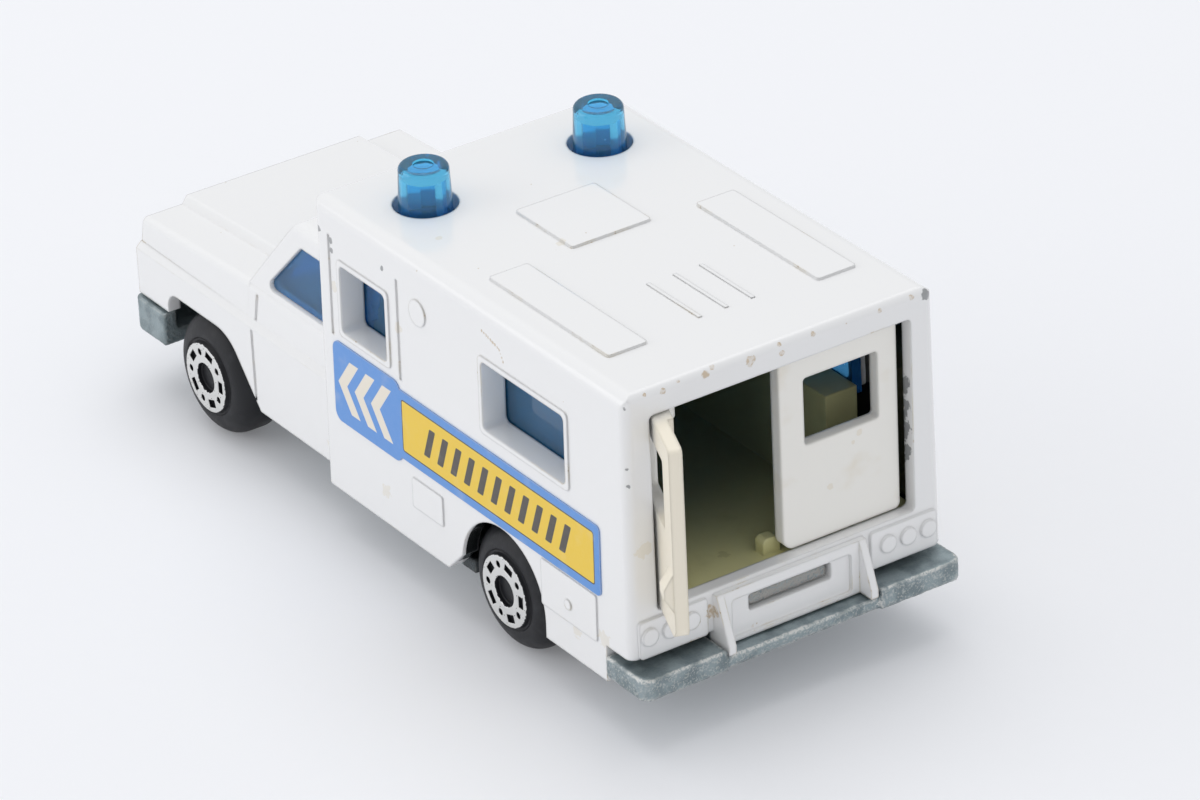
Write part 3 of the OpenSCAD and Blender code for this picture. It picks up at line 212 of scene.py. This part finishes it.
def enamel_wear():
    """Places of the brown chips, the bare chips and the stains, as x, y, z and size in mm."""
    wall_x, rear_y = 14.6, 35.0
    brown = [(10.9, rear_y, 29.8, 0.35), (7.0, rear_y, 29.9, 0.4), (2.8, rear_y, 29.6, 0.55),
             (-0.1, rear_y, 29.3, 0.3), (7.4, rear_y + 0.3, 9.2, 0.75), (3.6, rear_y + 0.5, 6.6, 0.4)]
    bare = [(-13.8, rear_y, 29.7, 0.55), (14.5, rear_y, 29.4, 0.4), (14.5, rear_y, 27.2, 0.3),
            (14.5, rear_y, 24.3, 0.35), (14.4, rear_y, 22.7, 0.3), (wall_x, -7.9, 27.5, 0.45),
            (wall_x, -6.1, 27.1, 0.35), (wall_x, -6.0, 26.2, 0.3), (wall_x, -5.1, 22.4, 0.25),
            (wall_x, -5.1, 20.8, 0.25), (wall_x, 1.5, 27.7, 0.3)]
    stains = [(13.3, rear_y, 16.8, 0.9), (wall_x, 31.5, 7.8, 1.0), (wall_x, -10.0, 6.7, 0.8),
              (wall_x, 0.6, 7.2, 0.9), (wall_x, 27.7, 6.8, 0.9), (wall_x, 3.5, 23.2, 0.7),
              (10.9, 4.3, 30.3, 0.4), (4.0, 11.1, 30.5, 0.55), (wall_x, -5.9, 23.1, 0.7)]
    edge_chips, edge_half, edge_y, edge_z = 9, 12.5, rear_y - 0.1, 30.0
    for i in range(edge_chips):
        x = edge_half - 2 * edge_half * i / (edge_chips - 1)
        z = edge_z + 0.25 * math.sin(7 * i)
        brown.append((x, edge_y, z, 0.2 + 0.06 * (i % 3)))
    jamb_x, jamb_y, jamb_low_z = -11.95, rear_y - 1.0, 14.8
    jamb_chips, jamb_pitch = 12, 0.66
    for i in range(jamb_chips):
        z = jamb_low_z + jamb_pitch * i
        bare.append((jamb_x, jamb_y, z, 0.5 + 0.2 * (i % 3)))
    scratch = [(wall_x, 15.7, 28.1), (wall_x, 16.9, 27.8), (wall_x, 18.1, 27.4), (wall_x, 18.7, 26.3)]
    scratch_steps, scratch_size = 4, 0.16
    for start, end in zip(scratch, scratch[1:]):
        for i in range(scratch_steps):
            point = Vector(start).lerp(Vector(end), i / scratch_steps)
            brown.append((*point, scratch_size))
    return brown, bare, stains


def unpainted_and_shaded_inside(tree):
    """Mask of painted shade: the casting's unpainted inside behind its leaning walls, made near black, and
    the rear wheel wells.
    """
    wall_x, wall_low_z, wall_lean = 13.7, 4.2, 0.0175
    pad_x = 12.4
    inward = -0.4
    well_x, well_r = 14.65, 6.8
    limits = [("LESS_THAN", "Z", 28.85), ("LESS_THAN", "Y", 33.75), ("GREATER_THAN", "Y", -7.05)]
    where = axes(tree, place_mm(tree))
    out = calc(tree, "ABSOLUTE", where["X"])
    height = calc(tree, "SUBTRACT", where["Z"], wall_low_z)
    from_middle = calc(tree, "ADD", out, calc(tree, "MULTIPLY", height, wall_lean))
    face = tree.nodes.new("ShaderNodeNewGeometry").outputs["True Normal"]
    turned_in = calc(tree, "MULTIPLY", axes(tree, face)["X"], where["X"])
    faces_in = calc(tree, "LESS_THAN", turned_in, inward * pad_x)
    within = calc(tree, "MULTIPLY", faces_in, calc(tree, "LESS_THAN", from_middle, wall_x))
    within = calc(tree, "MAXIMUM", within, calc(tree, "LESS_THAN", from_middle, pad_x))
    for test, axis, limit in limits:
        within = calc(tree, "MULTIPLY", within, calc(tree, test, where[axis], limit))
    behind = calc(tree, "LESS_THAN", out, well_x)
    shaded_well = calc(tree, "MULTIPLY", behind, near_rear_axle(tree, well_r))
    return calc(tree, "MAXIMUM", within, shaded_well)


def enamel_finish():
    white = srgb(240, 240, 240)
    yellowed = srgb(226, 217, 196)
    chip_brown = srgb(194, 166, 122)
    chip_grey = srgb(112, 116, 118)
    inside_painted_shade = srgb(24, 28, 28)
    rub_strength, stain_strength, bare_strength, dust_strength = 0.7, 0.42, 0.75, 0.5
    coat, coat_roughness = 0.35, 0.08
    peel_share, paint_mm = 0.12, 0.03
    brown_chips, bare_chips, stains = enamel_wear()
    material, tree, shader = start_material("white_enamel")
    edges = use(tree, soft_edges, radius=0.32 * MM)
    cloud = noise(tree, size_mm=3.5, detail=3.0)
    fine = noise(tree, size_mm=0.5, detail=4.0)
    worn = calc(tree, "MULTIPLY", edges["Edge"], spread(tree, cloud, 0.52, 0.66))
    chipped = calc(tree, "MULTIPLY", worn, spread(tree, fine, 0.6, 0.66))
    dust = use(tree, speckle, pitch=1.6, size=0.07, cover=0.10)["Mask"]
    marks = calc(tree, "MAXIMUM", chipped, calc(tree, "MULTIPLY", dust, dust_strength))
    flaked = spread(tree, noise(tree, size_mm=0.3, detail=3.0), 0.4, 0.62, to_low=0.25, to_high=0.7)
    chips = calc(tree, "MULTIPLY", marked(tree, brown_chips, fine), flaked)
    marks = calc(tree, "MAXIMUM", marks, chips)
    rubbed = calc(tree, "MULTIPLY", worn, rub_strength)
    stained = calc(tree, "MULTIPLY", marked(tree, stains, fine), stain_strength)
    bare = calc(tree, "MULTIPLY", marked(tree, bare_chips, fine), bare_strength)
    colour = blend_colour(tree, calc(tree, "MAXIMUM", rubbed, stained), white, yellowed)
    colour = blend_colour(tree, marks, colour, chip_brown)
    colour = blend_colour(tree, bare, colour, chip_grey)
    # Painted shade: the unpainted inside and the rear wheel wells turn near black.
    colour = blend_colour(tree, unpainted_and_shaded_inside(tree), colour, inside_painted_shade)
    tree.links.new(colour, shader.inputs["Base Color"])
    tree.links.new(spread(tree, fine, 0.2, 0.9, to_low=0.14, to_high=0.24), shader.inputs["Roughness"])
    shader.inputs["Coat Weight"].default_value = coat
    shader.inputs["Coat Roughness"].default_value = coat_roughness
    peel = calc(tree, "MULTIPLY", noise(tree, size_mm=1.8, detail=1.0), peel_share)
    height = calc(tree, "SUBTRACT", peel, calc(tree, "MAXIMUM", marks, bare))
    tree.links.new(bumped(tree, height, paint_mm, edges["Normal"]), shader.inputs["Normal"])
    return material


dress("body_shell", enamel_finish())


# Base: a second zinc casting left bare, with both bumpers and the tongue that shows in the rear slot.
# It is dull blue grey, rough from the mould, and rubbed bright along its edges; around the rear wheels it
# is painted dark grey as shade.
def bare_cast_finish():
    dull = srgb(155, 168, 172)
    dark = srgb(127, 140, 144)
    bright = srgb(216, 217, 214)
    raw_grey = srgb(172, 170, 166)
    well_painted_shade = srgb(44, 47, 49)
    well_r = 8.4
    well_shade_strength = 0.8
    front_y, back_y, front_wear = -25.0, 15.0, 0.35
    tongue_low_z = 7.2
    tongue_y = 33.0
    metallic = 0.7
    smooth_share, pit_mm = 0.25, 0.09
    material, tree, shader = start_material("bare_cast")
    edges = use(tree, soft_edges, radius=0.45 * MM)
    cloud = noise(tree, size_mm=1.6, detail=4.0)
    grit = noise(tree, size_mm=0.18, detail=4.0)
    where = axes(tree, place_mm(tree))
    facing = axes(tree, edges["Normal"])["Z"]
    upright = spread(tree, calc(tree, "ABSOLUTE", facing), 0.9, 0.4)
    high = calc(tree, "GREATER_THAN", where["Z"], tongue_low_z)
    tongue = calc(tree, "MULTIPLY", high, calc(tree, "GREATER_THAN", where["Y"], tongue_y))
    colour = blend_colour(tree, spread(tree, cloud, 0.35, 0.62), dark, dull)
    bulge = tree.nodes.new("ShaderNodeNewGeometry").outputs["Pointiness"]
    rubbed = spread(tree, bulge, 0.505, 0.54)
    rubbed = calc(tree, "MULTIPLY", rubbed, spread(tree, grit, 0.38, 0.52, to_low=0.25))
    rubbed = calc(tree, "MULTIPLY", rubbed, spread(tree, cloud, 0.4, 0.56, to_low=0.3))
    rasped = calc(tree, "MULTIPLY", upright, spread(tree, grit, 0.5, 0.64, to_high=0.5))
    handled = spread(tree, where["Y"], front_y, back_y, to_low=front_wear)
    worn = calc(tree, "MULTIPLY", calc(tree, "MAXIMUM", rubbed, rasped), handled)
    colour = blend_colour(tree, worn, colour, bright)
    # Painted shade: the base turns dark grey within the rear wheel wells.
    shade = calc(tree, "MULTIPLY", near_rear_axle(tree, well_r), well_shade_strength)
    colour = blend_colour(tree, shade, colour, well_painted_shade)
    raw = calc(tree, "MULTIPLY", tongue, spread(tree, grit, 0.36, 0.54, to_low=0.2))
    tree.links.new(blend_colour(tree, raw, colour, raw_grey), shader.inputs["Base Color"])
    tree.links.new(spread(tree, grit, 0.3, 0.7, to_low=0.36, to_high=0.6), shader.inputs["Roughness"])
    shader.inputs["Metallic"].default_value = metallic
    pitted = calc(tree, "ADD", calc(tree, "MAXIMUM", upright, tongue), smooth_share)
    coarse = calc(tree, "MULTIPLY", grit, pitted)
    tree.links.new(bumped(tree, coarse, pit_mm, edges["Normal"]), shader.inputs["Normal"])
    return material


def roughen(node_name, voxel_mm, layers):
    """Gives a casting worn edges and a lumpy skin, by layers of clouds with a size and depth in mm."""
    inward_level = 0.95
    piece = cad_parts[node_name]
    even = piece.modifiers.new("even_mesh", "REMESH")
    even.mode = "VOXEL"
    even.voxel_size = voxel_mm * MM
    even.use_smooth_shade = True
    for i, (size, depth) in enumerate(layers):
        pattern = bpy.data.textures.new(f"{node_name}_lumps_{i}", "CLOUDS")
        pattern.noise_scale = size * MM
        pattern.noise_depth = 2
        lumps = piece.modifiers.new(f"lumps_{i}", "DISPLACE")
        lumps.texture = pattern
        lumps.texture_coords = "LOCAL"
        lumps.strength = depth * MM
        lumps.mid_level = inward_level


dress("base_plate", bare_cast_finish())
roughen("base_plate", voxel_mm=0.16, layers=[(1.1, 0.07), (0.35, 0.07)])


# Axles: two lengths of plain steel wire with pointed ends, a little tarnished.
# Each lies in the base's cradles under the interior moulding and carries a wheel on each end.
def axle_finish():
    steel = srgb(150, 152, 156)
    tarnish = srgb(104, 100, 96)
    material, tree, shader = start_material("axle_steel")
    cloud = noise(tree, size_mm=1.2, detail=3.0)
    colour = blend_colour(tree, spread(tree, cloud, 0.4, 0.7), steel, tarnish)
    tree.links.new(colour, shader.inputs["Base Color"])
    tree.links.new(spread(tree, cloud, 0.3, 0.7, to_low=0.25, to_high=0.45), shader.inputs["Roughness"])
    shader.inputs["Metallic"].default_value = 1.0
    return material


wire = axle_finish()
for name in ("front_axle", "rear_axle"):
    dress(name, wire)


# Wheels: black plastic mouldings, each snapped on the end of its axle.
# The raised hub face is stamped with silver foil, which misses the slots, the round holes and the
# middle, and frays at its rim.
def wheel_finish(name, node_name):
    black = srgb(26, 27, 31)
    scuffed = srgb(52, 53, 57)
    foil = srgb(226, 226, 224)
    foil_depth = 0.06
    foil_outer = 3.04
    foil_inner = 1.33
    fray_mm = 0.22
    scuff_strength, dust_strength = 0.5, 0.8
    shine = 0.32
    grain_depth = 0.01
    low, high = (Vector(corner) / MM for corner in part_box(node_name))
    middle = (low + high) / 2
    face = max(abs(low.x), abs(high.x))
    material, tree, shader = start_material(name)
    where = axes(tree, place_mm(tree))
    across = calc(tree, "SUBTRACT", where["Y"], middle.y)
    along = calc(tree, "SUBTRACT", where["Z"], middle.z)
    ragged = calc(tree, "SUBTRACT", noise(tree, size_mm=0.3, detail=3.0), 0.5)
    reach = calc(tree, "ADD", length(tree, across, along), calc(tree, "MULTIPLY", ragged, fray_mm))
    depth = calc(tree, "SUBTRACT", face, calc(tree, "ABSOLUTE", where["X"]))
    stamped = calc(tree, "LESS_THAN", depth, foil_depth)
    silver = calc(tree, "MULTIPLY", stamped, calc(tree, "LESS_THAN", reach, foil_outer))
    silver = calc(tree, "MULTIPLY", silver, calc(tree, "GREATER_THAN", reach, foil_inner))
    pits = use(tree, speckle, pitch=0.35, size=0.05, cover=0.2)["Mask"]
    silver = calc(tree, "MULTIPLY", silver, calc(tree, "SUBTRACT", 1.0, pits))
    edges = use(tree, soft_edges, radius=0.12 * MM)
    cloud = noise(tree, size_mm=1.5, detail=4.0)
    dust = use(tree, speckle, pitch=0.8, size=0.05, cover=0.15)["Mask"]
    scuffs = calc(tree, "MULTIPLY", spread(tree, cloud, 0.5, 0.75), scuff_strength)
    rub = calc(tree, "MAXIMUM", scuffs, calc(tree, "MULTIPLY", dust, dust_strength))
    plastic = blend_colour(tree, rub, black, scuffed)
    tree.links.new(blend_colour(tree, silver, plastic, foil), shader.inputs["Base Color"])
    tree.links.new(silver, shader.inputs["Metallic"])
    tree.links.new(spread(tree, cloud, 0.3, 0.7, to_low=0.4, to_high=0.54), shader.inputs["Roughness"])
    shader.inputs["Specular IOR Level"].default_value = shine
    grain = noise(tree, size_mm=0.2, detail=2.0)
    tree.links.new(bumped(tree, grain, grain_depth, edges["Normal"]), shader.inputs["Normal"])
    return material


def bend(middle_r, middle_x, radius, start, end, steps=12):
    """Points of a round in a wheel's section, as radius from the axle and place along it in mm."""
    angles = [math.radians(start + (end - start) * i / steps) for i in range(steps + 1)]
    return [(middle_r + radius * math.cos(a), middle_x + radius * math.sin(a)) for a in angles]


def turned_wheel():
    """A wheel in mm, its axle along X and its hub face at the origin, with slots and holes cut."""
    tyre_r, hub_r, centre_r, bore_r = 5.395, 3.1, 1.3, 0.62
    width, bore_x = 4.4, -1.6
    side_x, groove_x, centre_x = -0.3, -0.43, -0.45
    centre_round, inner_edge, outer_edge = 0.08, 0.05, 0.07
    shoulder, inner_round = 1.9, 0.8
    marks, mark_r, mark_depth = 5, 2.29, 0.35
    slot_width, slot_len, dot_r = 0.7, 1.1, 0.31
    turn_steps, dot_sides, weld_mm = 120, 24, 0.001
    section = [(0, centre_x), (centre_r - centre_round, centre_x), (centre_r, centre_x + centre_round)]
    section += [(centre_r, -inner_edge), (centre_r + inner_edge, 0)]
    section += [(hub_r - outer_edge, 0), (hub_r, -outer_edge), (hub_r + 0.02, side_x)]
    section += [(hub_r + 0.1, groove_x + 0.01), (hub_r + 0.24, groove_x)]
    section += bend(tyre_r - shoulder, side_x - shoulder, shoulder, start=90, end=0)
    section += bend(tyre_r - inner_round, inner_round - width, inner_round, start=0, end=-90, steps=6)
    section += [(bore_r, -width), (bore_r, bore_x), (0, bore_x)]
    made = bmesh.new()
    points = [made.verts.new((x, r, 0)) for r, x in section]
    lines = [made.edges.new(pair) for pair in zip(points, points[1:])]
    bmesh.ops.spin(made, geom=points + lines, axis=(1, 0, 0), cent=(0, 0, 0), angle=math.tau,
                   steps=turn_steps)
    bmesh.ops.remove_doubles(made, verts=made.verts, dist=weld_mm)
    bmesh.ops.recalc_face_normals(made, faces=made.faces)
    cut = bmesh.new()
    off_axle = Matrix.Translation((0, mark_r, 0))
    slot = off_axle @ Matrix.Diagonal((2 * mark_depth, slot_width, slot_len, 1))
    dot = off_axle @ Matrix.Rotation(math.pi / 2, 4, "Y")
    for i in range(marks):
        turn = Matrix.Rotation(math.tau * i / marks, 4, "X")
        bmesh.ops.create_cube(cut, matrix=turn @ slot)
        turn = Matrix.Rotation(math.tau * (i + 0.5) / marks, 4, "X")
        bmesh.ops.create_cone(cut, cap_ends=True, segments=dot_sides, radius1=dot_r, radius2=dot_r,
                              depth=2 * mark_depth, matrix=turn @ dot)
    shapes = []
    for name, shape in (("wheel_blank", made), ("wheel_cutter", cut)):
        mesh = bpy.data.meshes.new(name)
        shape.to_mesh(mesh)
        shape.free()
        shapes.append(bpy.data.objects.new(name, mesh))
        bpy.context.scene.collection.objects.link(shapes[-1])
    blank, cutter = shapes
    holes = blank.modifiers.new("hub_marks", "BOOLEAN")
    holes.object = cutter
    holes.solver = "EXACT"
    ready = blank.evaluated_get(bpy.context.evaluated_depsgraph_get())
    wheel = bpy.data.meshes.new_from_object(ready)
    for shape in shapes:
        bpy.data.objects.remove(shape)
    return wheel


wheel_shape = turned_wheel()
crease = math.radians(32)
for end in ("front", "rear"):
    moulded = wheel_finish("wheel_plastic_" + end, "wheel_" + end + "_left")
    for side in ("left", "right"):
        node_name = "wheel_" + end + "_" + side
        low, high = (Vector(corner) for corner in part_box(node_name))
        middle = (low + high) / 2
        outward = 1 if side == "left" else -1
        hub_x = high.x if side == "left" else low.x
        mesh = wheel_shape.copy()
        place = Matrix.Translation((hub_x, middle.y, middle.z))
        mesh.transform(place @ Matrix.Diagonal((outward * MM, MM, MM, 1)))
        if outward < 0:
            mesh.flip_normals()
        mesh.shade_smooth()
        mesh.set_sharp_from_angle(angle=crease)
        mesh.materials.clear()
        mesh.materials.append(moulded)
        wheel = bpy.data.objects.new("moulded_" + node_name, mesh)
        bpy.context.scene.collection.objects.link(wheel)
        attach(wheel, end + "_" + side + "_wheel")
        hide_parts(node_name)


# Interior: one cream plastic moulding with the floor, cabinets, bench, seat and dashboard.
# It stands on the base and traps the axles and the doors' lower hinge pins.
def moulded_finish(name, colour, soiled, roughness, grain_mm, edge_mm, spots, far_colour, near_y, far_y):
    """Grained plastic, soiled in clouds and spots, whose colour changes from near_y to far_y."""
    spot_strength, dirt_strength = 0.6, 0.8
    smoother, rougher = roughness - 0.05, roughness + 0.06
    grain_depth = 0.008
    material, tree, shader = start_material(name)
    edges = use(tree, soft_edges, radius=edge_mm * MM)
    cloud = noise(tree, size_mm=4.0, detail=3.0)
    grime = use(tree, speckle, pitch=1.3, size=0.06, cover=0.12)["Mask"]
    scuffs = marked(tree, spots, noise(tree, size_mm=0.5, detail=4.0))
    spotted = calc(tree, "MULTIPLY", calc(tree, "MAXIMUM", grime, scuffs), spot_strength)
    dirt = calc(tree, "MAXIMUM", spread(tree, cloud, 0.55, 0.9), spotted)
    dirt = calc(tree, "MULTIPLY", dirt, dirt_strength)
    along = axes(tree, place_mm(tree))["Y"]
    colour = blend_colour(tree, dirt, colour, soiled)
    # Towards far_y the colour turns to far_colour; in the interior this darkening is painted shade deep in
    # the box.
    colour = blend_colour(tree, spread(tree, along, near_y, far_y), colour, far_colour)
    tree.links.new(colour, shader.inputs["Base Color"])
    tree.links.new(spread(tree, cloud, 0.3, 0.7, smoother, rougher), shader.inputs["Roughness"])
    grain = noise(tree, grain_mm, detail=2.0)
    tree.links.new(bumped(tree, grain, grain_depth, edges["Normal"]), shader.inputs["Normal"])
    return material


floor_z = 11.0
floor_scuffs = [(3.0, 30.5, floor_z, 0.8), (8.5, 31.5, floor_z, 0.6), (6.0, 27.0, floor_z, 0.9)]
# Painted shade: far_colour darkens the cream towards the front of the box, from y 33 to 18.
cream = moulded_finish("cream_plastic", colour=srgb(214, 210, 156), soiled=srgb(178, 174, 124),
                       roughness=0.42, grain_mm=0.3, edge_mm=0.25, spots=floor_scuffs,
                       far_colour=srgb(126, 132, 102), near_y=33.0, far_y=18.0)
dress("interior_moulding", cream)


# Windows and beacons: one clear blue moulding, held under the roof, through which both beacons stand.
# The panes are flat and polished, and the beacons' hollow middles bend the light.
def clear_blue_finish():
    pane_blue = srgb(96, 186, 246)
    beacon_lit_blue = srgb(102, 214, 255)
    roof_z = 30.4
    let_through = srgb(24, 72, 122)
    cab_y = -8.5
    cab_haze, dust_haze = 0.3, 0.35
    clearness, bending = 0.86, 1.49
    material, tree, shader = start_material("clear_blue")
    fine = noise(tree, size_mm=0.8, detail=3.0)
    dust = use(tree, speckle, pitch=0.9, size=0.06, cover=0.15)["Mask"]
    shader.inputs["Transmission Weight"].default_value = clearness
    shader.inputs["IOR"].default_value = bending
    rough = spread(tree, fine, 0.4, 0.8, to_low=0.03, to_high=0.07)
    where = axes(tree, place_mm(tree))
    # Painted light: the beacons get a lighter blue than the panes of the same moulding, for the light they
    # gather.
    above = spread(tree, where["Z"], roof_z - 0.6, roof_z + 1.0)
    tree.links.new(blend_colour(tree, above, pane_blue, beacon_lit_blue), shader.inputs["Base Color"])
    haze = calc(tree, "MULTIPLY", calc(tree, "LESS_THAN", where["Y"], cab_y), cab_haze)
    rough = calc(tree, "MAXIMUM", rough, haze)
    rough = calc(tree, "MAXIMUM", rough, calc(tree, "MULTIPLY", dust, dust_haze))
    tree.links.new(rough, shader.inputs["Roughness"])
    passed = add(tree, "ShaderNodeBsdfTransparent", {"Color": let_through})
    ray = tree.nodes.new("ShaderNodeLightPath").outputs["Is Shadow Ray"]
    joined = add(tree, "ShaderNodeMixShader", {0: ray, 1: shader.outputs[0], 2: passed.outputs[0]})
    tree.links.new(joined.outputs[0], tree.nodes["Material Output"].inputs["Surface"])
    return material


dress("window_moulding", clear_blue_finish())


# Rear doors: two ivory plastic mouldings with rounded edges, each turning on pins at its ends.
# The left one has a wedge for a fingertip.
door_y = 34.1
door_scuffs = [(-7.8, door_y, 19.3, 0.35), (-7.2, door_y, 18.6, 0.25), (-9.3, door_y, 21.7, 0.3),
               (-4.9, door_y, 15.4, 0.4)]
ivory = moulded_finish("door_plastic", colour=srgb(242, 240, 234), soiled=srgb(226, 216, 196),
                       roughness=0.36, grain_mm=0.4, edge_mm=0.42, spots=door_scuffs,
                       far_colour=srgb(243, 235, 217), near_y=34.4, far_y=36.5)
for name in ("rear_door_left", "rear_door_right"):
    dress(name, ivory)


# Side labels: printed film, stuck on each wall. A blue field surrounds a yellow strip.
# Plain cream chevrons fill the square and plain dark bars the strip.
def make_box_distance():
    """Distance in mm from a rounded rectangle, slanted by Lean and bent to a chevron by Fold."""
    sizes = {"Y": 0.0, "Z": 0.0, "Middle Y": 0.0, "Middle Z": 0.0, "Half Y": 1.0, "Half Z": 1.0,
             "Corner": 0.0, "Lean": 0.0, "Fold": 0.0}
    group, given, put = start_group("box_distance", sizes, {"Distance": "Float"})
    up = calc(group, "SUBTRACT", given["Z"], given["Middle Z"])
    slant = calc(group, "MULTIPLY", up, given["Lean"])
    folded = calc(group, "MULTIPLY", calc(group, "ABSOLUTE", up), given["Fold"])
    along = calc(group, "SUBTRACT", given["Y"], given["Middle Y"])
    along = calc(group, "SUBTRACT", along, calc(group, "ADD", slant, folded))
    past = []
    for value, half in ((along, "Half Y"), (up, "Half Z")):
        inner = calc(group, "SUBTRACT", given[half], given["Corner"])
        past.append(calc(group, "SUBTRACT", calc(group, "ABSOLUTE", value), inner))
    outside = [calc(group, "MAXIMUM", value, 0.0) for value in past]
    inside = calc(group, "MINIMUM", calc(group, "MAXIMUM", *past), 0.0)
    distance = calc(group, "ADD", length(group, *outside), inside)
    group.links.new(calc(group, "SUBTRACT", distance, given["Corner"]), put["Distance"])
    return group


box_distance = make_box_distance()


def label_finish():
    film_blue = srgb(99, 152, 220)
    film_yellow = srgb(240, 203, 68)
    film_cream = srgb(236, 228, 214)
    film_dark = srgb(78, 74, 70)
    square_len = 9.8
    border = 0.85
    outline = 0.11
    print_blur = 0.02
    strip_margin, field_gap, field_corner = 0.55, 0.3, 0.2
    chevrons, chevron_pitch, chevron_back = 3, 2.4, 1.2
    chevron_size = {"half_y": 0.65, "half_z": 2.4, "fold": 0.75}
    bars, bar_pitch, row_half = 11, 1.9, 2.0
    bar_size = {"half_y": 0.42, "half_z": 1.35, "lean": 0.35, "corner": 0.12}
    edge_wear = 0.7
    grain_depth = 0.006
    low, high = (Vector(corner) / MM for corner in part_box("side_label_left"))
    middle_z = (low.z + high.z) / 2
    square_y = low.y + square_len / 2
    strip_half = (high.z - low.z) / 2 - strip_margin
    field_low = low.y + square_len + field_gap
    field_high = high.y - border
    field_half = (field_high - field_low) / 2
    field_y = (field_high + field_low) / 2
    material, tree, shader = start_material("label_film")
    where = axes(tree, place_mm(tree))

    def shape_mask(grow=0.0, y=where["Y"], **sizes):
        """A mask that is 1 inside a printed shape at the label's middle height, grown by some mm."""
        place = {"y": y, "z": where["Z"], "middle_z": middle_z}
        gap = use(tree, box_distance, **place, **sizes)["Distance"]
        return spread(tree, gap, grow + print_blur, grow - print_blur)

    field = {"middle_y": field_y, "half_y": field_half, "half_z": strip_half - border,
             "corner": field_corner}
    colour = blend_colour(tree, shape_mask(outline, **field), film_blue, film_dark)
    colour = blend_colour(tree, shape_mask(**field), colour, film_yellow)
    for i in range(chevrons):
        chevron_y = square_y + (i - 1) * chevron_pitch - chevron_back
        chevron = shape_mask(middle_y=chevron_y, **chevron_size)
        colour = blend_colour(tree, chevron, colour, film_cream)
    row_len = bars * bar_pitch
    first = field_y - row_len / 2
    cell = calc(tree, "WRAP", where["Y"], first + bar_pitch, first)
    cell = calc(tree, "SUBTRACT", cell, first + bar_pitch / 2)
    bar = shape_mask(y=cell, **bar_size)
    row = shape_mask(middle_y=field_y, half_y=row_len / 2, half_z=row_half)
    colour = blend_colour(tree, calc(tree, "MULTIPLY", bar, row), colour, film_dark)
    fade = spread(tree, noise(tree, size_mm=2.5, detail=3.0), 0.55, 0.8, to_high=0.18)
    edges = use(tree, soft_edges, radius=0.1 * MM)
    fade = calc(tree, "MAXIMUM", fade, calc(tree, "MULTIPLY", edges["Edge"], edge_wear))
    colour = blend_colour(tree, fade, colour, film_cream)
    tree.links.new(colour, shader.inputs["Base Color"])
    rough = spread(tree, noise(tree, size_mm=0.6, detail=3.0), 0.3, 0.7, to_low=0.36, to_high=0.46)
    tree.links.new(rough, shader.inputs["Roughness"])
    grain = noise(tree, size_mm=0.25, detail=2.0)
    tree.links.new(bumped(tree, grain, grain_depth, edges["Normal"]), shader.inputs["Normal"])
    return material


film = label_finish()
for name in ("side_label_left", "side_label_right"):
    dress(name, film)


# Studio: a wide pale sheet of paper that glows a little, which keeps the shadows light.
# A large soft light hangs high beyond the toy and a smaller one stands at its left.
# The surround is even and pale.
def paper_sweep():
    half_width = 2.0
    paper = srgb(226, 227, 230)
    glow = srgb(250, 251, 255)
    glow_strength = 0.13
    mesh = bpy.data.meshes.new("floor")
    corners = [(-half_width, -half_width, 0), (half_width, -half_width, 0),
               (half_width, half_width, 0), (-half_width, half_width, 0)]
    mesh.from_pydata(corners, [], [(0, 1, 2, 3)])
    floor = bpy.data.objects.new("floor", mesh)
    bpy.context.scene.collection.objects.link(floor)
    material, tree, shader = start_material("floor_paper")
    fine = noise(tree, size_mm=2.0, detail=4.0)
    shader.inputs["Base Color"].default_value = paper
    shader.inputs["Emission Color"].default_value = glow
    shader.inputs["Emission Strength"].default_value = glow_strength
    tree.links.new(spread(tree, fine, 0.3, 0.7, to_low=0.55, to_high=0.65), shader.inputs["Roughness"])
    mesh.materials.append(material)


def soft_light(name, place, aim, size, watts):
    """A round area light, with its place, aim and size in metres."""
    light = bpy.data.lights.new(name, "AREA")
    light.shape = "DISK"
    light.size = size
    light.energy = watts
    lamp = bpy.data.objects.new(name, light)
    lamp.location = place
    lamp.rotation_euler = (Vector(aim) - Vector(place)).to_track_quat("-Z", "Y").to_euler()
    bpy.context.scene.collection.objects.link(lamp)


paper_sweep()
soft_light("key_softbox", place=(-0.12, -0.2, 0.8), aim=(0, 0, 0.01), size=0.9, watts=2.35)
soft_light("fill_softbox", place=(0.62, -0.34, 0.24), aim=(0, 0, 0.015), size=0.6, watts=1.05)
surround_colour = (0.97, 0.98, 1.0, 1.0)
surround_strength = 0.71
world = bpy.data.worlds.new("surround")
world.use_nodes = True
backdrop = world.node_tree.nodes["Background"]
backdrop.inputs["Color"].default_value = surround_colour
backdrop.inputs["Strength"].default_value = surround_strength
bpy.context.scene.world = world
bpy.context.scene.view_settings.view_transform = "Standard"

# Camera: a long lens high behind the toy's left rear corner, tilted a little.
# Its place, aim and length are fitted to the toy's box edges, wheels and windows.
eye = Vector((264.75, 413.83, 281.67)) * MM
target = Vector((-16.83, -16.06, -2.75)) * MM
tilt = math.radians(-2.75)
lens_mm = 207.55
film_width_mm = 36.0
nearest, farthest = 0.01, 20.0
back = (eye - target).normalized()
level = Vector((0, 0, 1)).cross(back).normalized()
upward = back.cross(level)
sideways = level * math.cos(tilt) + upward * math.sin(tilt)
skyward = upward * math.cos(tilt) - level * math.sin(tilt)
view = bpy.data.cameras.new("photo_camera")
view.sensor_fit = "HORIZONTAL"
view.sensor_width = film_width_mm
view.lens = lens_mm
view.clip_start = nearest
view.clip_end = farthest
camera = bpy.data.objects.new("photo_camera", view)
camera.matrix_world = Matrix.Translation(eye) @ Matrix((sideways, skyward, back)).transposed().to_4x4()
bpy.context.scene.collection.objects.link(camera)
bpy.context.scene.camera = camera
